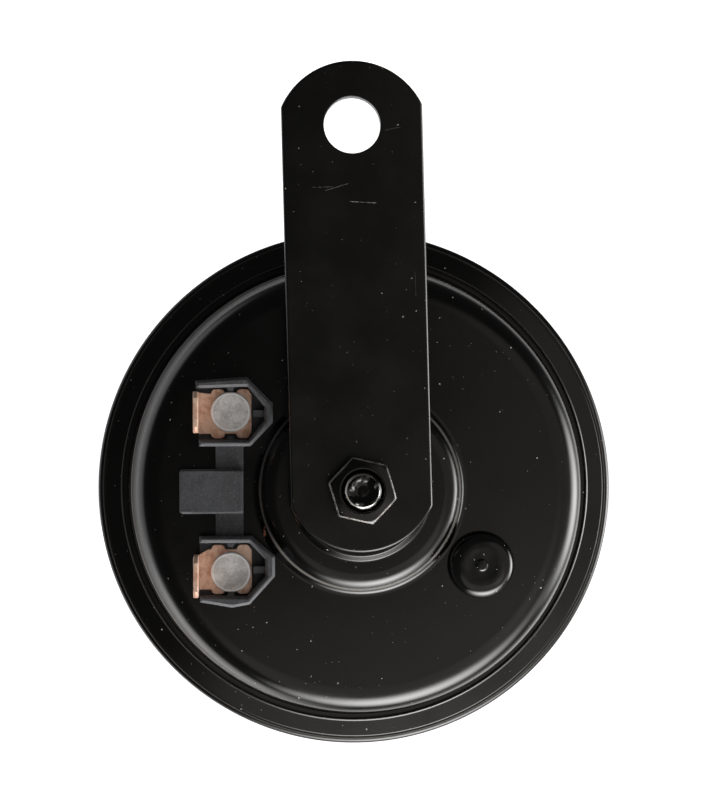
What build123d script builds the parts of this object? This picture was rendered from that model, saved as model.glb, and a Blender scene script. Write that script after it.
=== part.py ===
from build123d import *

import math
import os

# Car horn of the electromagnetic disc kind, in millimetres. +Z is up along the mounting bracket and the
# horn's axis lies along Y: the bracket and the terminals are at the rear (-Y), the tone disc is at the front
# (+Y). The origin is on the axis of the bracket's bolt hole, on the bracket's front face, which bears on
# the housing. Sizes named _X and _Z are places measured from the stud's axis.

# ---- Driving dimensions ------------------------------------------------------------------------

# Mounting bracket
BRACKET_WIDTH = 23.4
BRACKET_THICKNESS = 2.5
BRACKET_END_RADIUS = 12.9
BRACKET_HEAD = 10.7          # from the bolt hole to the strap's upper end
BRACKET_TAIL = 10.3          # from the stud to the strap's lower end
BRACKET_TURN = 1.3           # how far the strap leans from the housing's upright, degrees
HOLE_TO_STUD = 60.4
BOLT_HOLE_RADIUS = 4.7
EDGE_BREAK = 0.3

# Stud and its nut
STUD_RADIUS = 3.0
STUD_CLEARANCE = 0.15
STUD_END = 1.4               # how far the stud stands out of its nut
STUD_CHAMFER = 0.5
THREAD_FIT = 0.02
NUT_ACROSS_FLATS = 10.0
NUT_HEIGHT = 5.0
NUT_TURN = -13.1             # degrees
NUT_BEVEL = 30.0             # degrees

# Rear housing, drawn from one sheet
SHEET = 1.0
SEAT_RADIUS = 10.4
SEAT_TAPER = 1.6
SEAT_HEIGHT = 1.2
DOME_BASE_RADIUS = 17.4
DOME_TAPER = 1.75
DOME_HEIGHT = 3.0
CUP_TOP_RADIUS = 37.3
CUP_TAPER = 2.0              # how much wider the cup is at its flange
CUP_HEIGHT = 20.0
SHOULDER_RADIUS = 4.5
BEND_RADIUS = 0.8
SEAT_EDGE_RADIUS = 1.1
SEAT_BEND_RADIUS = 0.4
DOME_EDGE_RADIUS = 3.0

# Crimped rim
RIM_WIDTH = 5.7              # from the cup's wall to the outside
RIM_SHEET = 1.0
RIM_EDGE_RADIUS = 1.3
ROLLER_LINE = 1.5            # from the rim's outside
ROLLER_LINE_DEPTH = 0.2
RIM_CLEARANCE = 0.05
REAR_LIP = 4.1               # how far the rim reaches in over the flange
FRONT_LIP = 6.4              # how far it reaches in over the diaphragm

# Diaphragm and gaskets
GASKET = 0.5
GASKET_STEP = 1.0            # from the cup's wall to the gaskets' inner edge
DIAPHRAGM = 0.4
DIAPHRAGM_RISE = 2.6
DIAPHRAGM_FLAT_RADIUS = 15.0
DIAPHRAGM_STEP = 2.3         # from the cup's wall in to where the cone starts
DIAPHRAGM_BEND_RADIUS = 4.0

# Magnet core and coil
CORE_RADIUS = 9.0
CORE_SHOULDER_RADIUS = 10.2
CORE_SHOULDER = 3.6
CORE_CHAMFER = 0.6
CORE_LENGTH = 13.2           # from the cup's inner face to the pole face
BOBBIN_WALL = 0.9
BOBBIN_STEP = 1.0            # how far the bobbin reaches out past the dome
BOBBIN_LENGTH = 10.0
BOBBIN_CLEARANCE = 0.15
WINDING_STEP = 1.0           # from the bobbin's edge in to the winding
RETAINER_SHEET = 0.6
RETAINER_RADIUS = 13.0
RETAINER_TEETH = 8
RETAINER_SLOT_RADIUS = 1.2

# Armature and what is bolted to it
AIR_GAP = 0.6
ARMATURE_RADIUS = 22.0
ARMATURE_THICKNESS = 3.4
ARMATURE_HUB_RADIUS = 8.0
ARMATURE_CHAMFER = 0.5
BOLT_RADIUS = 2.5
BOLT_HEAD_RADIUS = 4.6
BOLT_HEAD = 2.2
BOLT_CLEARANCE = 0.1
BOLT_END = 1.2
WASHER_RADIUS = 9.0
WASHER_THICKNESS = 1.0
SPACER_RADIUS = 5.0
SPACER_LENGTH = 3.0
TONE_DISC_RADIUS = 36.0
TONE_DISC_SHEET = 1.5
TONE_DISC_HUB_RADIUS = 8.0
TONE_DISC_CROWN_RADIUS = 12.0
TONE_DISC_STEP = 1.8
TONE_DISC_DISH = 3.0
TONE_DISC_BEND_RADIUS = 2.5
LOCK_WASHER_RADIUS = 4.4
LOCK_WASHER_THICKNESS = 1.2
LOCK_WASHER_SPLIT = 1.0
DISC_NUT_ACROSS_FLATS = 8.0
DISC_NUT_HEIGHT = 4.0

# Adjusting screw and its seal
SCREW_ANGLE = -32.03         # round the stud, from the right, degrees
SCREW_RADIUS = 2.0
SCREW_SLOT = 0.6
SCREW_TIP_RADIUS = 1.0
NECK_WALL = 1.2
NECK_LENGTH = 2.8
SEAL_RADIUS = 5.7
SEAL_GAP = 0.84              # from the dome to the seal
SEAL_HEIGHT = 2.3
SEAL_RIM = 0.8
SEAL_FLOOR = 0.9
SEAL_NUB_RADIUS = 1.05
SEAL_NUB_HEIGHT = 0.5

# Terminal carrier. Its outlines are measured across from the rivets' line and up from the stud. The
# cavities run out past the pockets' open left sides.
CARRIER_FLOOR = 1.2
POCKET_HEIGHT = 4.6
POCKET_BEVEL = 0.45
UPPER_POCKET = [(-5.8, 18.2), (2.7, 18.8), (7.0, 14.4), (7.0, 11.2), (3.3, 7.3), (-5.2, 7.3)]
UPPER_CAVITY = [(-7.0, 16.9), (2.8, 17.2), (5.6, 13.9), (5.6, 11.6), (3.0, 8.4), (-7.0, 8.4)]
LOWER_POCKET = [
    (-5.1, -18.5), (0.2, -19.4), (3.1, -18.9), (7.3, -14.3),
    (7.3, -11.0), (3.4, -7.6), (-5.2, -7.6),
]
LOWER_CAVITY = [(-7.0, -17.4), (2.7, -17.6), (5.7, -14.3), (5.7, -11.4), (3.0, -8.7), (-7.0, -8.7)]
NIB_WIDTH = 1.9
NIB_HEIGHT = 2.4
NIB_GAP = 0.4                # from the terminal's edge
RIB_GAP = 0.25               # from the terminal's end
RIB_WIDTH = 1.1
BAR_LEFT = -2.5
BAR_RIGHT = 2.1
BAR_HEIGHT = 2.6
BADGE_LEFT = -8.5
BADGE_TOP = 3.5
BADGE_BOTTOM = -3.9
BADGE_HEIGHT = 3.7
BADGE_CORNER = 0.6
BADGE_BEVEL = 0.35
BOSS_RADIUS = 2.9
BOSS_CLEARANCE = 0.1

# Terminals and their rivets
RIVET_STEP = 4.2             # from the dome to the rivets' line
UPPER_RIVET_Z = 13.0
LOWER_RIVET_Z = -13.6
UPPER_TERMINAL_Z = 12.7
LOWER_TERMINAL_Z = -13.2
UPPER_BLADE_Z = 12.9
LOWER_BLADE_Z = -14.1
RIVET_HEAD_RADIUS = 3.35
RIVET_HEAD = 1.2
RIVET_HEAD_ROUND = 0.3
RIVET_SHANK_RADIUS = 1.6
RIVET_CLEARANCE = 0.1
RIVET_TAIL_RADIUS = 2.7
RIVET_TAIL = 0.9
TERMINAL_SHEET = 0.8
TERMINAL_WIDTH = 6.8
TERMINAL_RIGHT = 3.5         # from the rivets' line
BLADE_LEFT = -6.1
BLADE_LENGTH = 7.5
BLADE_CHAMFER = 1.0
TERMINAL_CORNER = 1.5
EAR_WIDTH = 2.3
EAR_REACH = 0.75
EAR_OFFSET = 2.1
INSULATOR_RADIUS = 4.4
INSULATOR_THICKNESS = 1.0

# Contact breaker: a stack on the breaker plate, with two arms that reach down to the adjusting screw.
# Places along the arms are measured from the adjusting screw's axis.
ARM_LEAN = -10.0             # of the arms from the upright, degrees
STACK_GAP = 3.05             # from the arms' ends to the cup's wall
STACK_WIDTH = 6.4
STACK_LENGTH = 11.0
STACK_CORNER = 1.0
BREAKER_SHEET = 1.2
STACK_SPACER = 6.2
STACK_INSULATOR = 1.2
MOVING_ARM_SHEET = 0.3
MOVING_ARM_WIDTH = 6.0
MOVING_ARM_END = 3.2
FIXED_ARM_SHEET = 0.8
FIXED_ARM_WIDTH = 3.8
FIXED_ARM_END = -2.6
FIXED_ARM_OFFSET = 1.1
ARM_HOLE_CLEARANCE = 0.5
SOLDER_TAB_WIDTH = 2.4
SOLDER_TAB_LENGTH = 2.6
SOLDER_TAB_OFFSET = 1.8
CONTACT_RADIUS = 1.4
CONTACT_HEIGHT = 0.95
CONTACT_REACH = 5.2
BREAKER_RIVET_RADIUS = 1.2
BREAKER_RIVET_SPACING = 5.4
BREAKER_RIVET_HEAD_RADIUS = 2.1
BREAKER_RIVET_HEAD = 0.8
PUSHER_RADIUS = 1.0
PUSHER_CLEARANCE = 0.6       # from the bobbin
PUSHER_GAP = 0.15

# Leads
LEAD_RADIUS = 0.4
LEAD_DEPTH = 11.0
LEAD_GAP = 0.02
LEAD_BEND = 0.45             # of the shorter run beside each corner
BREAKER_LEAD_ANGLE = 62.0    # where it leaves the winding, degrees from the right
BREAKER_LEAD_STEP = 5.1      # how far out of the bobbin it turns
SUPPLY_LEAD_ROUTE = [(118.0, 9.7), (87.0, 8.4), (60.7, 4.7)]   # degrees round the stud, gap from the wall
SUPPLY_LEAD_RISE = 1.6

# ---- Places worked out from the sizes above ----------------------------------------------------

STUD_X = HOLE_TO_STUD * math.sin(math.radians(BRACKET_TURN))
STUD_Z = -HOLE_TO_STUD * math.cos(math.radians(BRACKET_TURN))

CUP_BASE_RADIUS = CUP_TOP_RADIUS + CUP_TAPER
RIM_RADIUS = CUP_BASE_RADIUS + RIM_WIDTH
CLAMPED_RADIUS = RIM_RADIUS - RIM_EDGE_RADIUS - RIM_CLEARANCE
DIAPHRAGM_CONE_RADIUS = CUP_BASE_RADIUS - DIAPHRAGM_STEP
BOBBIN_RADIUS = DOME_BASE_RADIUS + BOBBIN_STEP
WINDING_RADIUS = BOBBIN_RADIUS - WINDING_STEP

# Depths along Y, from the rear forward
NUT_FACE = -BRACKET_THICKNESS
STUD_TIP = NUT_FACE - NUT_HEIGHT - STUD_END
DOME_FACE = SEAT_HEIGHT
CUP_FACE = DOME_FACE + DOME_HEIGHT
INNER_FACE = CUP_FACE + SHEET
FLANGE_FACE = CUP_FACE + CUP_HEIGHT
RIM_REAR = FLANGE_FACE - RIM_SHEET
REAR_GASKET_FACE = FLANGE_FACE + SHEET
DIAPHRAGM_FACE = REAR_GASKET_FACE + GASKET
FRONT_GASKET_FACE = DIAPHRAGM_FACE + DIAPHRAGM
RIM_FRONT = FRONT_GASKET_FACE + GASKET + RIM_SHEET

BOBBIN_FACE = INNER_FACE + BREAKER_SHEET
BOBBIN_FRONT = BOBBIN_FACE + BOBBIN_LENGTH
BOBBIN_BORE = CORE_RADIUS + BOBBIN_CLEARANCE
POLE_FACE = INNER_FACE + CORE_LENGTH

ARMATURE_FACE = POLE_FACE + AIR_GAP
ARMATURE_FRONT = ARMATURE_FACE + ARMATURE_THICKNESS
HUB_FRONT = DIAPHRAGM_FACE + DIAPHRAGM_RISE
WASHER_FACE = HUB_FRONT + DIAPHRAGM
SPACER_FACE = WASHER_FACE + WASHER_THICKNESS
DISC_FACE = SPACER_FACE + SPACER_LENGTH
LOCK_FACE = DISC_FACE + TONE_DISC_SHEET
DISC_NUT_FACE = LOCK_FACE + LOCK_WASHER_THICKNESS
BOLT_TIP = DISC_NUT_FACE + DISC_NUT_HEIGHT + BOLT_END
BOLT_BORE = BOLT_RADIUS + BOLT_CLEARANCE

CARRIER_FACE = CUP_FACE - CARRIER_FLOOR
TERMINAL_FACE = CARRIER_FACE - TERMINAL_SHEET
POCKET_FACE = CUP_FACE - POCKET_HEIGHT
TAIL_FACE = INNER_FACE + INSULATOR_THICKNESS
TAIL_FRONT = TAIL_FACE + RIVET_TAIL

MIDDLE_SPACE = 2 * CONTACT_HEIGHT
REAR_INSULATOR_FACE = BOBBIN_FACE + STACK_SPACER
MOVING_ARM_FACE = REAR_INSULATOR_FACE + STACK_INSULATOR
MOVING_CONTACT_FACE = MOVING_ARM_FACE + MOVING_ARM_SHEET
FIXED_CONTACT_FACE = MOVING_CONTACT_FACE + CONTACT_HEIGHT
FIXED_ARM_FACE = FIXED_CONTACT_FACE + CONTACT_HEIGHT
FRONT_INSULATOR_FACE = FIXED_ARM_FACE + FIXED_ARM_SHEET
STACK_FRONT = FRONT_INSULATOR_FACE + STACK_INSULATOR

# Places across and up from the stud
RIVET_X = -(DOME_BASE_RADIUS + RIVET_STEP)
SCREW_REACH = DOME_BASE_RADIUS + SEAL_GAP + SEAL_RADIUS
SCREW_X = SCREW_REACH * math.cos(math.radians(SCREW_ANGLE))
SCREW_Z = SCREW_REACH * math.sin(math.radians(SCREW_ANGLE))
# The screw seen along and across the arms, and how far up the arms the cup's wall lets them reach
SCREW_ALONG = SCREW_REACH * math.sin(math.radians(SCREW_ANGLE - ARM_LEAN))
SCREW_ACROSS = SCREW_REACH * math.cos(math.radians(SCREW_ANGLE - ARM_LEAN))
ARM_LIMIT = math.sqrt((CUP_TOP_RADIUS - SHEET - STACK_GAP) ** 2 - SCREW_ACROSS**2) - SCREW_ALONG
STACK_REACH = ARM_LIMIT - SOLDER_TAB_LENGTH - STACK_LENGTH / 2
PUSHER_REACH = -SCREW_ALONG
PUSHER_OFFSET = BOBBIN_RADIUS + PUSHER_CLEARANCE + PUSHER_RADIUS - SCREW_ACROSS

HORN_AXIS = Axis((STUD_X, 0, STUD_Z), (0, 1, 0))
SCREW_AXIS = Axis((STUD_X + SCREW_X, 0, STUD_Z + SCREW_Z), (0, 1, 0))

# Half-section planes, radius across and depth up, for what is turned or drawn round
SECTION = Plane(origin=(STUD_X, 0, STUD_Z), x_dir=(1, 0, 0), z_dir=(0, 0, 1))
SCREW_SECTION = Plane(origin=(STUD_X + SCREW_X, 0, STUD_Z + SCREW_Z), x_dir=(1, 0, 0), z_dir=(0, 0, 1))


def rear_plane(depth, turn=0.0):
    """The plane through the stud's axis at a depth, facing the rear and turned anticlockwise."""
    lean = math.radians(turn)
    return Plane(origin=(STUD_X, depth, STUD_Z), x_dir=(math.cos(lean), 0, math.sin(lean)), z_dir=(0, -1, 0))


def breaker_plane(depth):
    """The plane through the adjusting screw's axis at a depth, its own y running up along the arms."""
    lean = math.radians(ARM_LEAN)
    at_screw = (STUD_X + SCREW_X, depth, STUD_Z + SCREW_Z)
    return Plane(origin=at_screw, x_dir=(math.cos(lean), 0, math.sin(lean)), z_dir=(0, -1, 0))


def on_arms(offset, reach):
    """A place on the contact arms, across and up from the stud's axis."""
    lean = math.radians(ARM_LEAN)
    across = SCREW_X + offset * math.cos(lean) - reach * math.sin(lean)
    up = SCREW_Z + offset * math.sin(lean) + reach * math.cos(lean)
    return across, up


os.makedirs("parts", exist_ok=True)

# ---- Rear housing and crimped rim --------------------------------------------------------------

with BuildPart() as rear_housing:
    with BuildSketch(SECTION):
        with BuildLine():
            FilletPolyline(
                (STUD_RADIUS + STUD_CLEARANCE, 0),
                (SEAT_RADIUS, 0),
                (SEAT_RADIUS + SEAT_TAPER, DOME_FACE),
                (DOME_BASE_RADIUS - DOME_TAPER, DOME_FACE),
                (DOME_BASE_RADIUS, CUP_FACE),
                (CUP_TOP_RADIUS, CUP_FACE),
                (CUP_BASE_RADIUS, FLANGE_FACE),
                (CLAMPED_RADIUS, FLANGE_FACE),
                radius=[
                    SEAT_EDGE_RADIUS,
                    SEAT_BEND_RADIUS,
                    DOME_EDGE_RADIUS,
                    BEND_RADIUS,
                    SHOULDER_RADIUS,
                    BEND_RADIUS,
                ],
            )
            offset(amount=SHEET, side=Side.LEFT)
        make_face()
    revolve(axis=HORN_AXIS)
    # The neck for the adjusting screw's thread
    with BuildSketch(rear_plane(INNER_FACE + NECK_LENGTH)):
        with Locations((SCREW_X, SCREW_Z)):
            Circle(SCREW_RADIUS + NECK_WALL)
    extrude(amount=NECK_LENGTH)
    with BuildSketch(rear_plane(INNER_FACE + NECK_LENGTH)):
        with Locations((SCREW_X, SCREW_Z)):
            Circle(SCREW_RADIUS + THREAD_FIT)
    extrude(amount=NECK_LENGTH + SHEET, mode=Mode.SUBTRACT)
    # Holes for the carrier's bosses
    with BuildSketch(rear_plane(INNER_FACE)):
        with Locations((RIVET_X, UPPER_RIVET_Z), (RIVET_X, LOWER_RIVET_Z)):
            Circle(BOSS_RADIUS + BOSS_CLEARANCE)
    extrude(amount=SHEET, mode=Mode.SUBTRACT)
rear_housing.part.label = "rear_housing"
export_step(rear_housing.part, "parts/rear_housing.step")

with BuildPart() as crimp_ring:
    with BuildSketch(SECTION):
        with BuildLine():
            FilletPolyline(
                (RIM_RADIUS - REAR_LIP, RIM_REAR),
                (RIM_RADIUS, RIM_REAR),
                (RIM_RADIUS, RIM_FRONT),
                (RIM_RADIUS - FRONT_LIP, RIM_FRONT),
                radius=RIM_EDGE_RADIUS,
            )
            offset(amount=RIM_SHEET, side=Side.LEFT)
        make_face()
    revolve(axis=HORN_AXIS)
    # The fine groove that the crimping roller leaves
    with BuildSketch(SECTION):
        with Locations((RIM_RADIUS - ROLLER_LINE, RIM_REAR)):
            Circle(ROLLER_LINE_DEPTH)
    revolve(axis=HORN_AXIS, mode=Mode.SUBTRACT)
crimp_ring.part.label = "crimp_ring"
export_step(crimp_ring.part, "parts/crimp_ring.step")

# ---- Mounting bracket, nut and pole core -------------------------------------------------------

HALF_WIDTH = BRACKET_WIDTH / 2
END_HEIGHT = BRACKET_END_RADIUS - math.sqrt(BRACKET_END_RADIUS**2 - HALF_WIDTH**2)
STRAP_TOP = HOLE_TO_STUD + BRACKET_HEAD

with BuildPart() as mounting_bracket:
    with BuildSketch(rear_plane(0, BRACKET_TURN)):
        with BuildLine():
            right = Line((HALF_WIDTH, END_HEIGHT - BRACKET_TAIL), (HALF_WIDTH, STRAP_TOP - END_HEIGHT))
            left = Line((-HALF_WIDTH, STRAP_TOP - END_HEIGHT), (-HALF_WIDTH, END_HEIGHT - BRACKET_TAIL))
            ThreePointArc(right @ 1, (0, STRAP_TOP), left @ 0)
            ThreePointArc(left @ 1, (0, -BRACKET_TAIL), right @ 0)
        make_face()
        with Locations((0, HOLE_TO_STUD)):
            Circle(BOLT_HOLE_RADIUS, mode=Mode.SUBTRACT)
        Circle(STUD_RADIUS + STUD_CLEARANCE, mode=Mode.SUBTRACT)
    extrude(amount=BRACKET_THICKNESS)
    chamfer(faces().sort_by(Axis.Y)[0].outer_wire().edges(), EDGE_BREAK)
mounting_bracket.part.label = "mounting_bracket"
export_step(mounting_bracket.part, "parts/mounting_bracket.step")


def hexagon_nut(across_flats, height, bore, face, turn, outward):
    """A nut with bevelled corners on the horn's axis, outward (-1 rear, 1 front) from a face."""
    flat = across_flats / 2
    corner = flat / math.cos(math.radians(30))
    drop = (corner - flat) * math.tan(math.radians(NUT_BEVEL))
    top = face + outward * height
    beyond = top + outward * drop
    clear = corner + drop
    with BuildPart() as nut:
        with BuildSketch(rear_plane(face, turn)):
            RegularPolygon(flat, 6, major_radius=False)
            Circle(bore, mode=Mode.SUBTRACT)
        extrude(amount=-outward * height)
        with BuildSketch(SECTION):
            Polygon(
                (flat, top),
                (flat, beyond),
                (clear, beyond),
                (clear, top - outward * drop),
                (corner, top - outward * drop),
                align=None,
            )
        revolve(axis=HORN_AXIS, mode=Mode.SUBTRACT)
    return nut


bracket_nut = hexagon_nut(NUT_ACROSS_FLATS, NUT_HEIGHT, STUD_RADIUS + THREAD_FIT, NUT_FACE, NUT_TURN, -1)
bracket_nut.part.label = "bracket_nut"
export_step(bracket_nut.part, "parts/bracket_nut.step")

with BuildPart() as pole_core:
    with BuildSketch(SECTION):
        Polygon(
            (0, STUD_TIP),
            (STUD_RADIUS - STUD_CHAMFER, STUD_TIP),
            (STUD_RADIUS, STUD_TIP + STUD_CHAMFER),
            (STUD_RADIUS, SHEET),
            (CORE_SHOULDER_RADIUS - CORE_CHAMFER, SHEET),
            (CORE_SHOULDER_RADIUS, SHEET + CORE_CHAMFER),
            (CORE_SHOULDER_RADIUS, SHEET + CORE_SHOULDER),
            (CORE_RADIUS, SHEET + CORE_SHOULDER),
            (CORE_RADIUS, POLE_FACE - CORE_CHAMFER),
            (CORE_RADIUS - CORE_CHAMFER, POLE_FACE),
            (0, POLE_FACE),
            align=None,
        )
    revolve(axis=HORN_AXIS)
pole_core.part.label = "pole_core"
export_step(pole_core.part, "parts/pole_core.step")

# ---- Coil --------------------------------------------------------------------------------------

with BuildPart() as coil_bobbin:
    with BuildSketch(SECTION):
        Polygon(
            (BOBBIN_BORE, BOBBIN_FACE),
            (BOBBIN_RADIUS, BOBBIN_FACE),
            (BOBBIN_RADIUS, BOBBIN_FACE + BOBBIN_WALL),
            (BOBBIN_BORE + BOBBIN_WALL, BOBBIN_FACE + BOBBIN_WALL),
            (BOBBIN_BORE + BOBBIN_WALL, BOBBIN_FRONT - BOBBIN_WALL),
            (BOBBIN_RADIUS, BOBBIN_FRONT - BOBBIN_WALL),
            (BOBBIN_RADIUS, BOBBIN_FRONT),
            (BOBBIN_BORE, BOBBIN_FRONT),
            align=None,
        )
    revolve(axis=HORN_AXIS)
coil_bobbin.part.label = "coil_bobbin"
export_step(coil_bobbin.part, "parts/coil_bobbin.step")

with BuildPart() as coil_winding:
    with BuildSketch(rear_plane(BOBBIN_FRONT - BOBBIN_WALL)):
        Circle(WINDING_RADIUS)
        Circle(BOBBIN_BORE + BOBBIN_WALL, mode=Mode.SUBTRACT)
    extrude(amount=BOBBIN_LENGTH - 2 * BOBBIN_WALL)
coil_winding.part.label = "coil_winding"
export_step(coil_winding.part, "parts/coil_winding.step")

with BuildPart() as coil_retainer:
    with BuildSketch(rear_plane(BOBBIN_FRONT + RETAINER_SHEET)):
        Circle(RETAINER_RADIUS)
        Circle(CORE_RADIUS, mode=Mode.SUBTRACT)
        with PolarLocations(CORE_RADIUS + RETAINER_SLOT_RADIUS / 2, RETAINER_TEETH):
            Circle(RETAINER_SLOT_RADIUS, mode=Mode.SUBTRACT)
    extrude(amount=RETAINER_SHEET)
coil_retainer.part.label = "coil_retainer"
export_step(coil_retainer.part, "parts/coil_retainer.step")

# ---- Contact breaker ---------------------------------------------------------------------------

RIVET_PLACES = [
    (0, STACK_REACH - BREAKER_RIVET_SPACING / 2),
    (0, STACK_REACH + BREAKER_RIVET_SPACING / 2),
]
RIVET_BORE = BREAKER_RIVET_RADIUS + THREAD_FIT
TAB_REACH = STACK_REACH + STACK_LENGTH / 2 + SOLDER_TAB_LENGTH / 2
stack_x, stack_z = on_arms(0, STACK_REACH)

with BuildPart() as breaker_plate:
    with BuildSketch(rear_plane(BOBBIN_FACE)):
        Circle(BOBBIN_RADIUS)
    with BuildSketch(breaker_plane(BOBBIN_FACE)):
        with Locations((0, STACK_REACH)):
            RectangleRounded(STACK_WIDTH, STACK_LENGTH, STACK_CORNER)
    # The strip from the core out to the stack
    with BuildSketch(rear_plane(BOBBIN_FACE)):
        with Locations((stack_x / 2, stack_z / 2)):
            Rectangle(
                math.hypot(stack_x, stack_z),
                STACK_WIDTH,
                rotation=math.degrees(math.atan2(stack_z, stack_x)),
            )
    extrude(amount=BREAKER_SHEET)
    with BuildSketch(rear_plane(BOBBIN_FACE)):
        Circle(max(BOBBIN_BORE, CORE_SHOULDER_RADIUS + BOBBIN_CLEARANCE))
    extrude(amount=BREAKER_SHEET, mode=Mode.SUBTRACT)
    with BuildSketch(breaker_plane(BOBBIN_FACE)):
        with Locations(*RIVET_PLACES):
            Circle(RIVET_BORE)
    extrude(amount=BREAKER_SHEET, mode=Mode.SUBTRACT)
breaker_plate.part.label = "breaker_plate"
export_step(breaker_plate.part, "parts/breaker_plate.step")


def stack_layer(depth, thickness):
    """One layer of the breaker stack, from a depth forward, with both rivet holes."""
    with BuildPart() as layer:
        with BuildSketch(breaker_plane(depth + thickness)):
            with Locations((0, STACK_REACH)):
                RectangleRounded(STACK_WIDTH, STACK_LENGTH, STACK_CORNER)
            with Locations(*RIVET_PLACES):
                Circle(RIVET_BORE, mode=Mode.SUBTRACT)
        extrude(amount=thickness)
    return layer


breaker_spacer = stack_layer(BOBBIN_FACE, STACK_SPACER)
breaker_spacer.part.label = "breaker_spacer"
export_step(breaker_spacer.part, "parts/breaker_spacer.step")

rear_insulator = stack_layer(REAR_INSULATOR_FACE, STACK_INSULATOR)
rear_insulator.part.label = "rear_insulator"
export_step(rear_insulator.part, "parts/rear_insulator.step")

middle_insulator = stack_layer(MOVING_CONTACT_FACE, MIDDLE_SPACE)
middle_insulator.part.label = "middle_insulator"
export_step(middle_insulator.part, "parts/middle_insulator.step")

front_insulator = stack_layer(FRONT_INSULATOR_FACE, STACK_INSULATOR)
front_insulator.part.label = "front_insulator"
export_step(front_insulator.part, "parts/front_insulator.step")


def contact_arm(depth, sheet, width, end, arm_offset, tab_offset):
    """A contact arm: its foot in the stack, a leaf down towards the screw and a solder tab at the top."""
    stack_top = STACK_REACH + STACK_LENGTH / 2
    with BuildPart() as arm:
        with BuildSketch(breaker_plane(depth + sheet)):
            with Locations((0, STACK_REACH)):
                RectangleRounded(STACK_WIDTH, STACK_LENGTH, STACK_CORNER)
            with Locations((arm_offset, (STACK_REACH + end) / 2)):
                Rectangle(width, STACK_REACH - end)
            with Locations((tab_offset, stack_top)):
                RectangleRounded(SOLDER_TAB_WIDTH, 2 * SOLDER_TAB_LENGTH, SOLDER_TAB_WIDTH / 4)
            with Locations(*RIVET_PLACES):
                Circle(BREAKER_RIVET_RADIUS + ARM_HOLE_CLEARANCE, mode=Mode.SUBTRACT)
        extrude(amount=sheet)
    return arm


moving_contact_arm = contact_arm(
    MOVING_ARM_FACE, MOVING_ARM_SHEET, MOVING_ARM_WIDTH, MOVING_ARM_END, 0, -SOLDER_TAB_OFFSET
)
moving_contact_arm.part.label = "moving_contact_arm"
export_step(moving_contact_arm.part, "parts/moving_contact_arm.step")

fixed_contact_arm = contact_arm(
    FIXED_ARM_FACE, FIXED_ARM_SHEET, FIXED_ARM_WIDTH, FIXED_ARM_END, FIXED_ARM_OFFSET, SOLDER_TAB_OFFSET
)
fixed_contact_arm.part.label = "fixed_contact_arm"
export_step(fixed_contact_arm.part, "parts/fixed_contact_arm.step")


def breaker_pin(reach, arm_offset, radius, depth, length):
    """A round piece of the breaker, from a depth forward, at a place along the arms."""
    with BuildPart() as pin:
        with BuildSketch(breaker_plane(depth + length)):
            with Locations((arm_offset, reach)):
                Circle(radius)
        extrude(amount=length)
    return pin


moving_contact = breaker_pin(
    CONTACT_REACH, FIXED_ARM_OFFSET, CONTACT_RADIUS, MOVING_CONTACT_FACE, CONTACT_HEIGHT
)
moving_contact.part.label = "moving_contact"
export_step(moving_contact.part, "parts/moving_contact.step")

fixed_contact = breaker_pin(
    CONTACT_REACH, FIXED_ARM_OFFSET, CONTACT_RADIUS, FIXED_CONTACT_FACE, CONTACT_HEIGHT
)
fixed_contact.part.label = "fixed_contact"
export_step(fixed_contact.part, "parts/fixed_contact.step")


def breaker_rivet(place):
    """A rivet through the breaker stack, its tail flush in the breaker plate."""
    with BuildPart() as rivet:
        with BuildSketch(breaker_plane(STACK_FRONT)):
            with Locations(place):
                Circle(BREAKER_RIVET_RADIUS)
        extrude(amount=STACK_FRONT - INNER_FACE)
        with BuildSketch(breaker_plane(STACK_FRONT + BREAKER_RIVET_HEAD)):
            with Locations(place):
                Circle(BREAKER_RIVET_HEAD_RADIUS)
        extrude(amount=BREAKER_RIVET_HEAD)
    return rivet


lower_breaker_rivet = breaker_rivet(RIVET_PLACES[0])
lower_breaker_rivet.part.label = "lower_breaker_rivet"
export_step(lower_breaker_rivet.part, "parts/lower_breaker_rivet.step")

upper_breaker_rivet = breaker_rivet(RIVET_PLACES[1])
upper_breaker_rivet.part.label = "upper_breaker_rivet"
export_step(upper_breaker_rivet.part, "parts/upper_breaker_rivet.step")

# ---- Adjusting screw and its seal --------------------------------------------------------------

with BuildPart() as adjusting_screw:
    with BuildSketch(SCREW_SECTION):
        Polygon(
            (0, CUP_FACE),
            (SCREW_RADIUS, CUP_FACE),
            (SCREW_RADIUS, FIXED_ARM_FACE - SCREW_RADIUS + SCREW_TIP_RADIUS),
            (SCREW_TIP_RADIUS, FIXED_ARM_FACE),
            (0, FIXED_ARM_FACE),
            align=None,
        )
    revolve(axis=SCREW_AXIS)
    with BuildSketch(rear_plane(CUP_FACE + SCREW_SLOT)):
        with Locations((SCREW_X, SCREW_Z)):
            Rectangle(3 * SCREW_RADIUS, SCREW_SLOT)
    extrude(amount=SCREW_SLOT, mode=Mode.SUBTRACT)
adjusting_screw.part.label = "adjusting_screw"
export_step(adjusting_screw.part, "parts/adjusting_screw.step")

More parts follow.
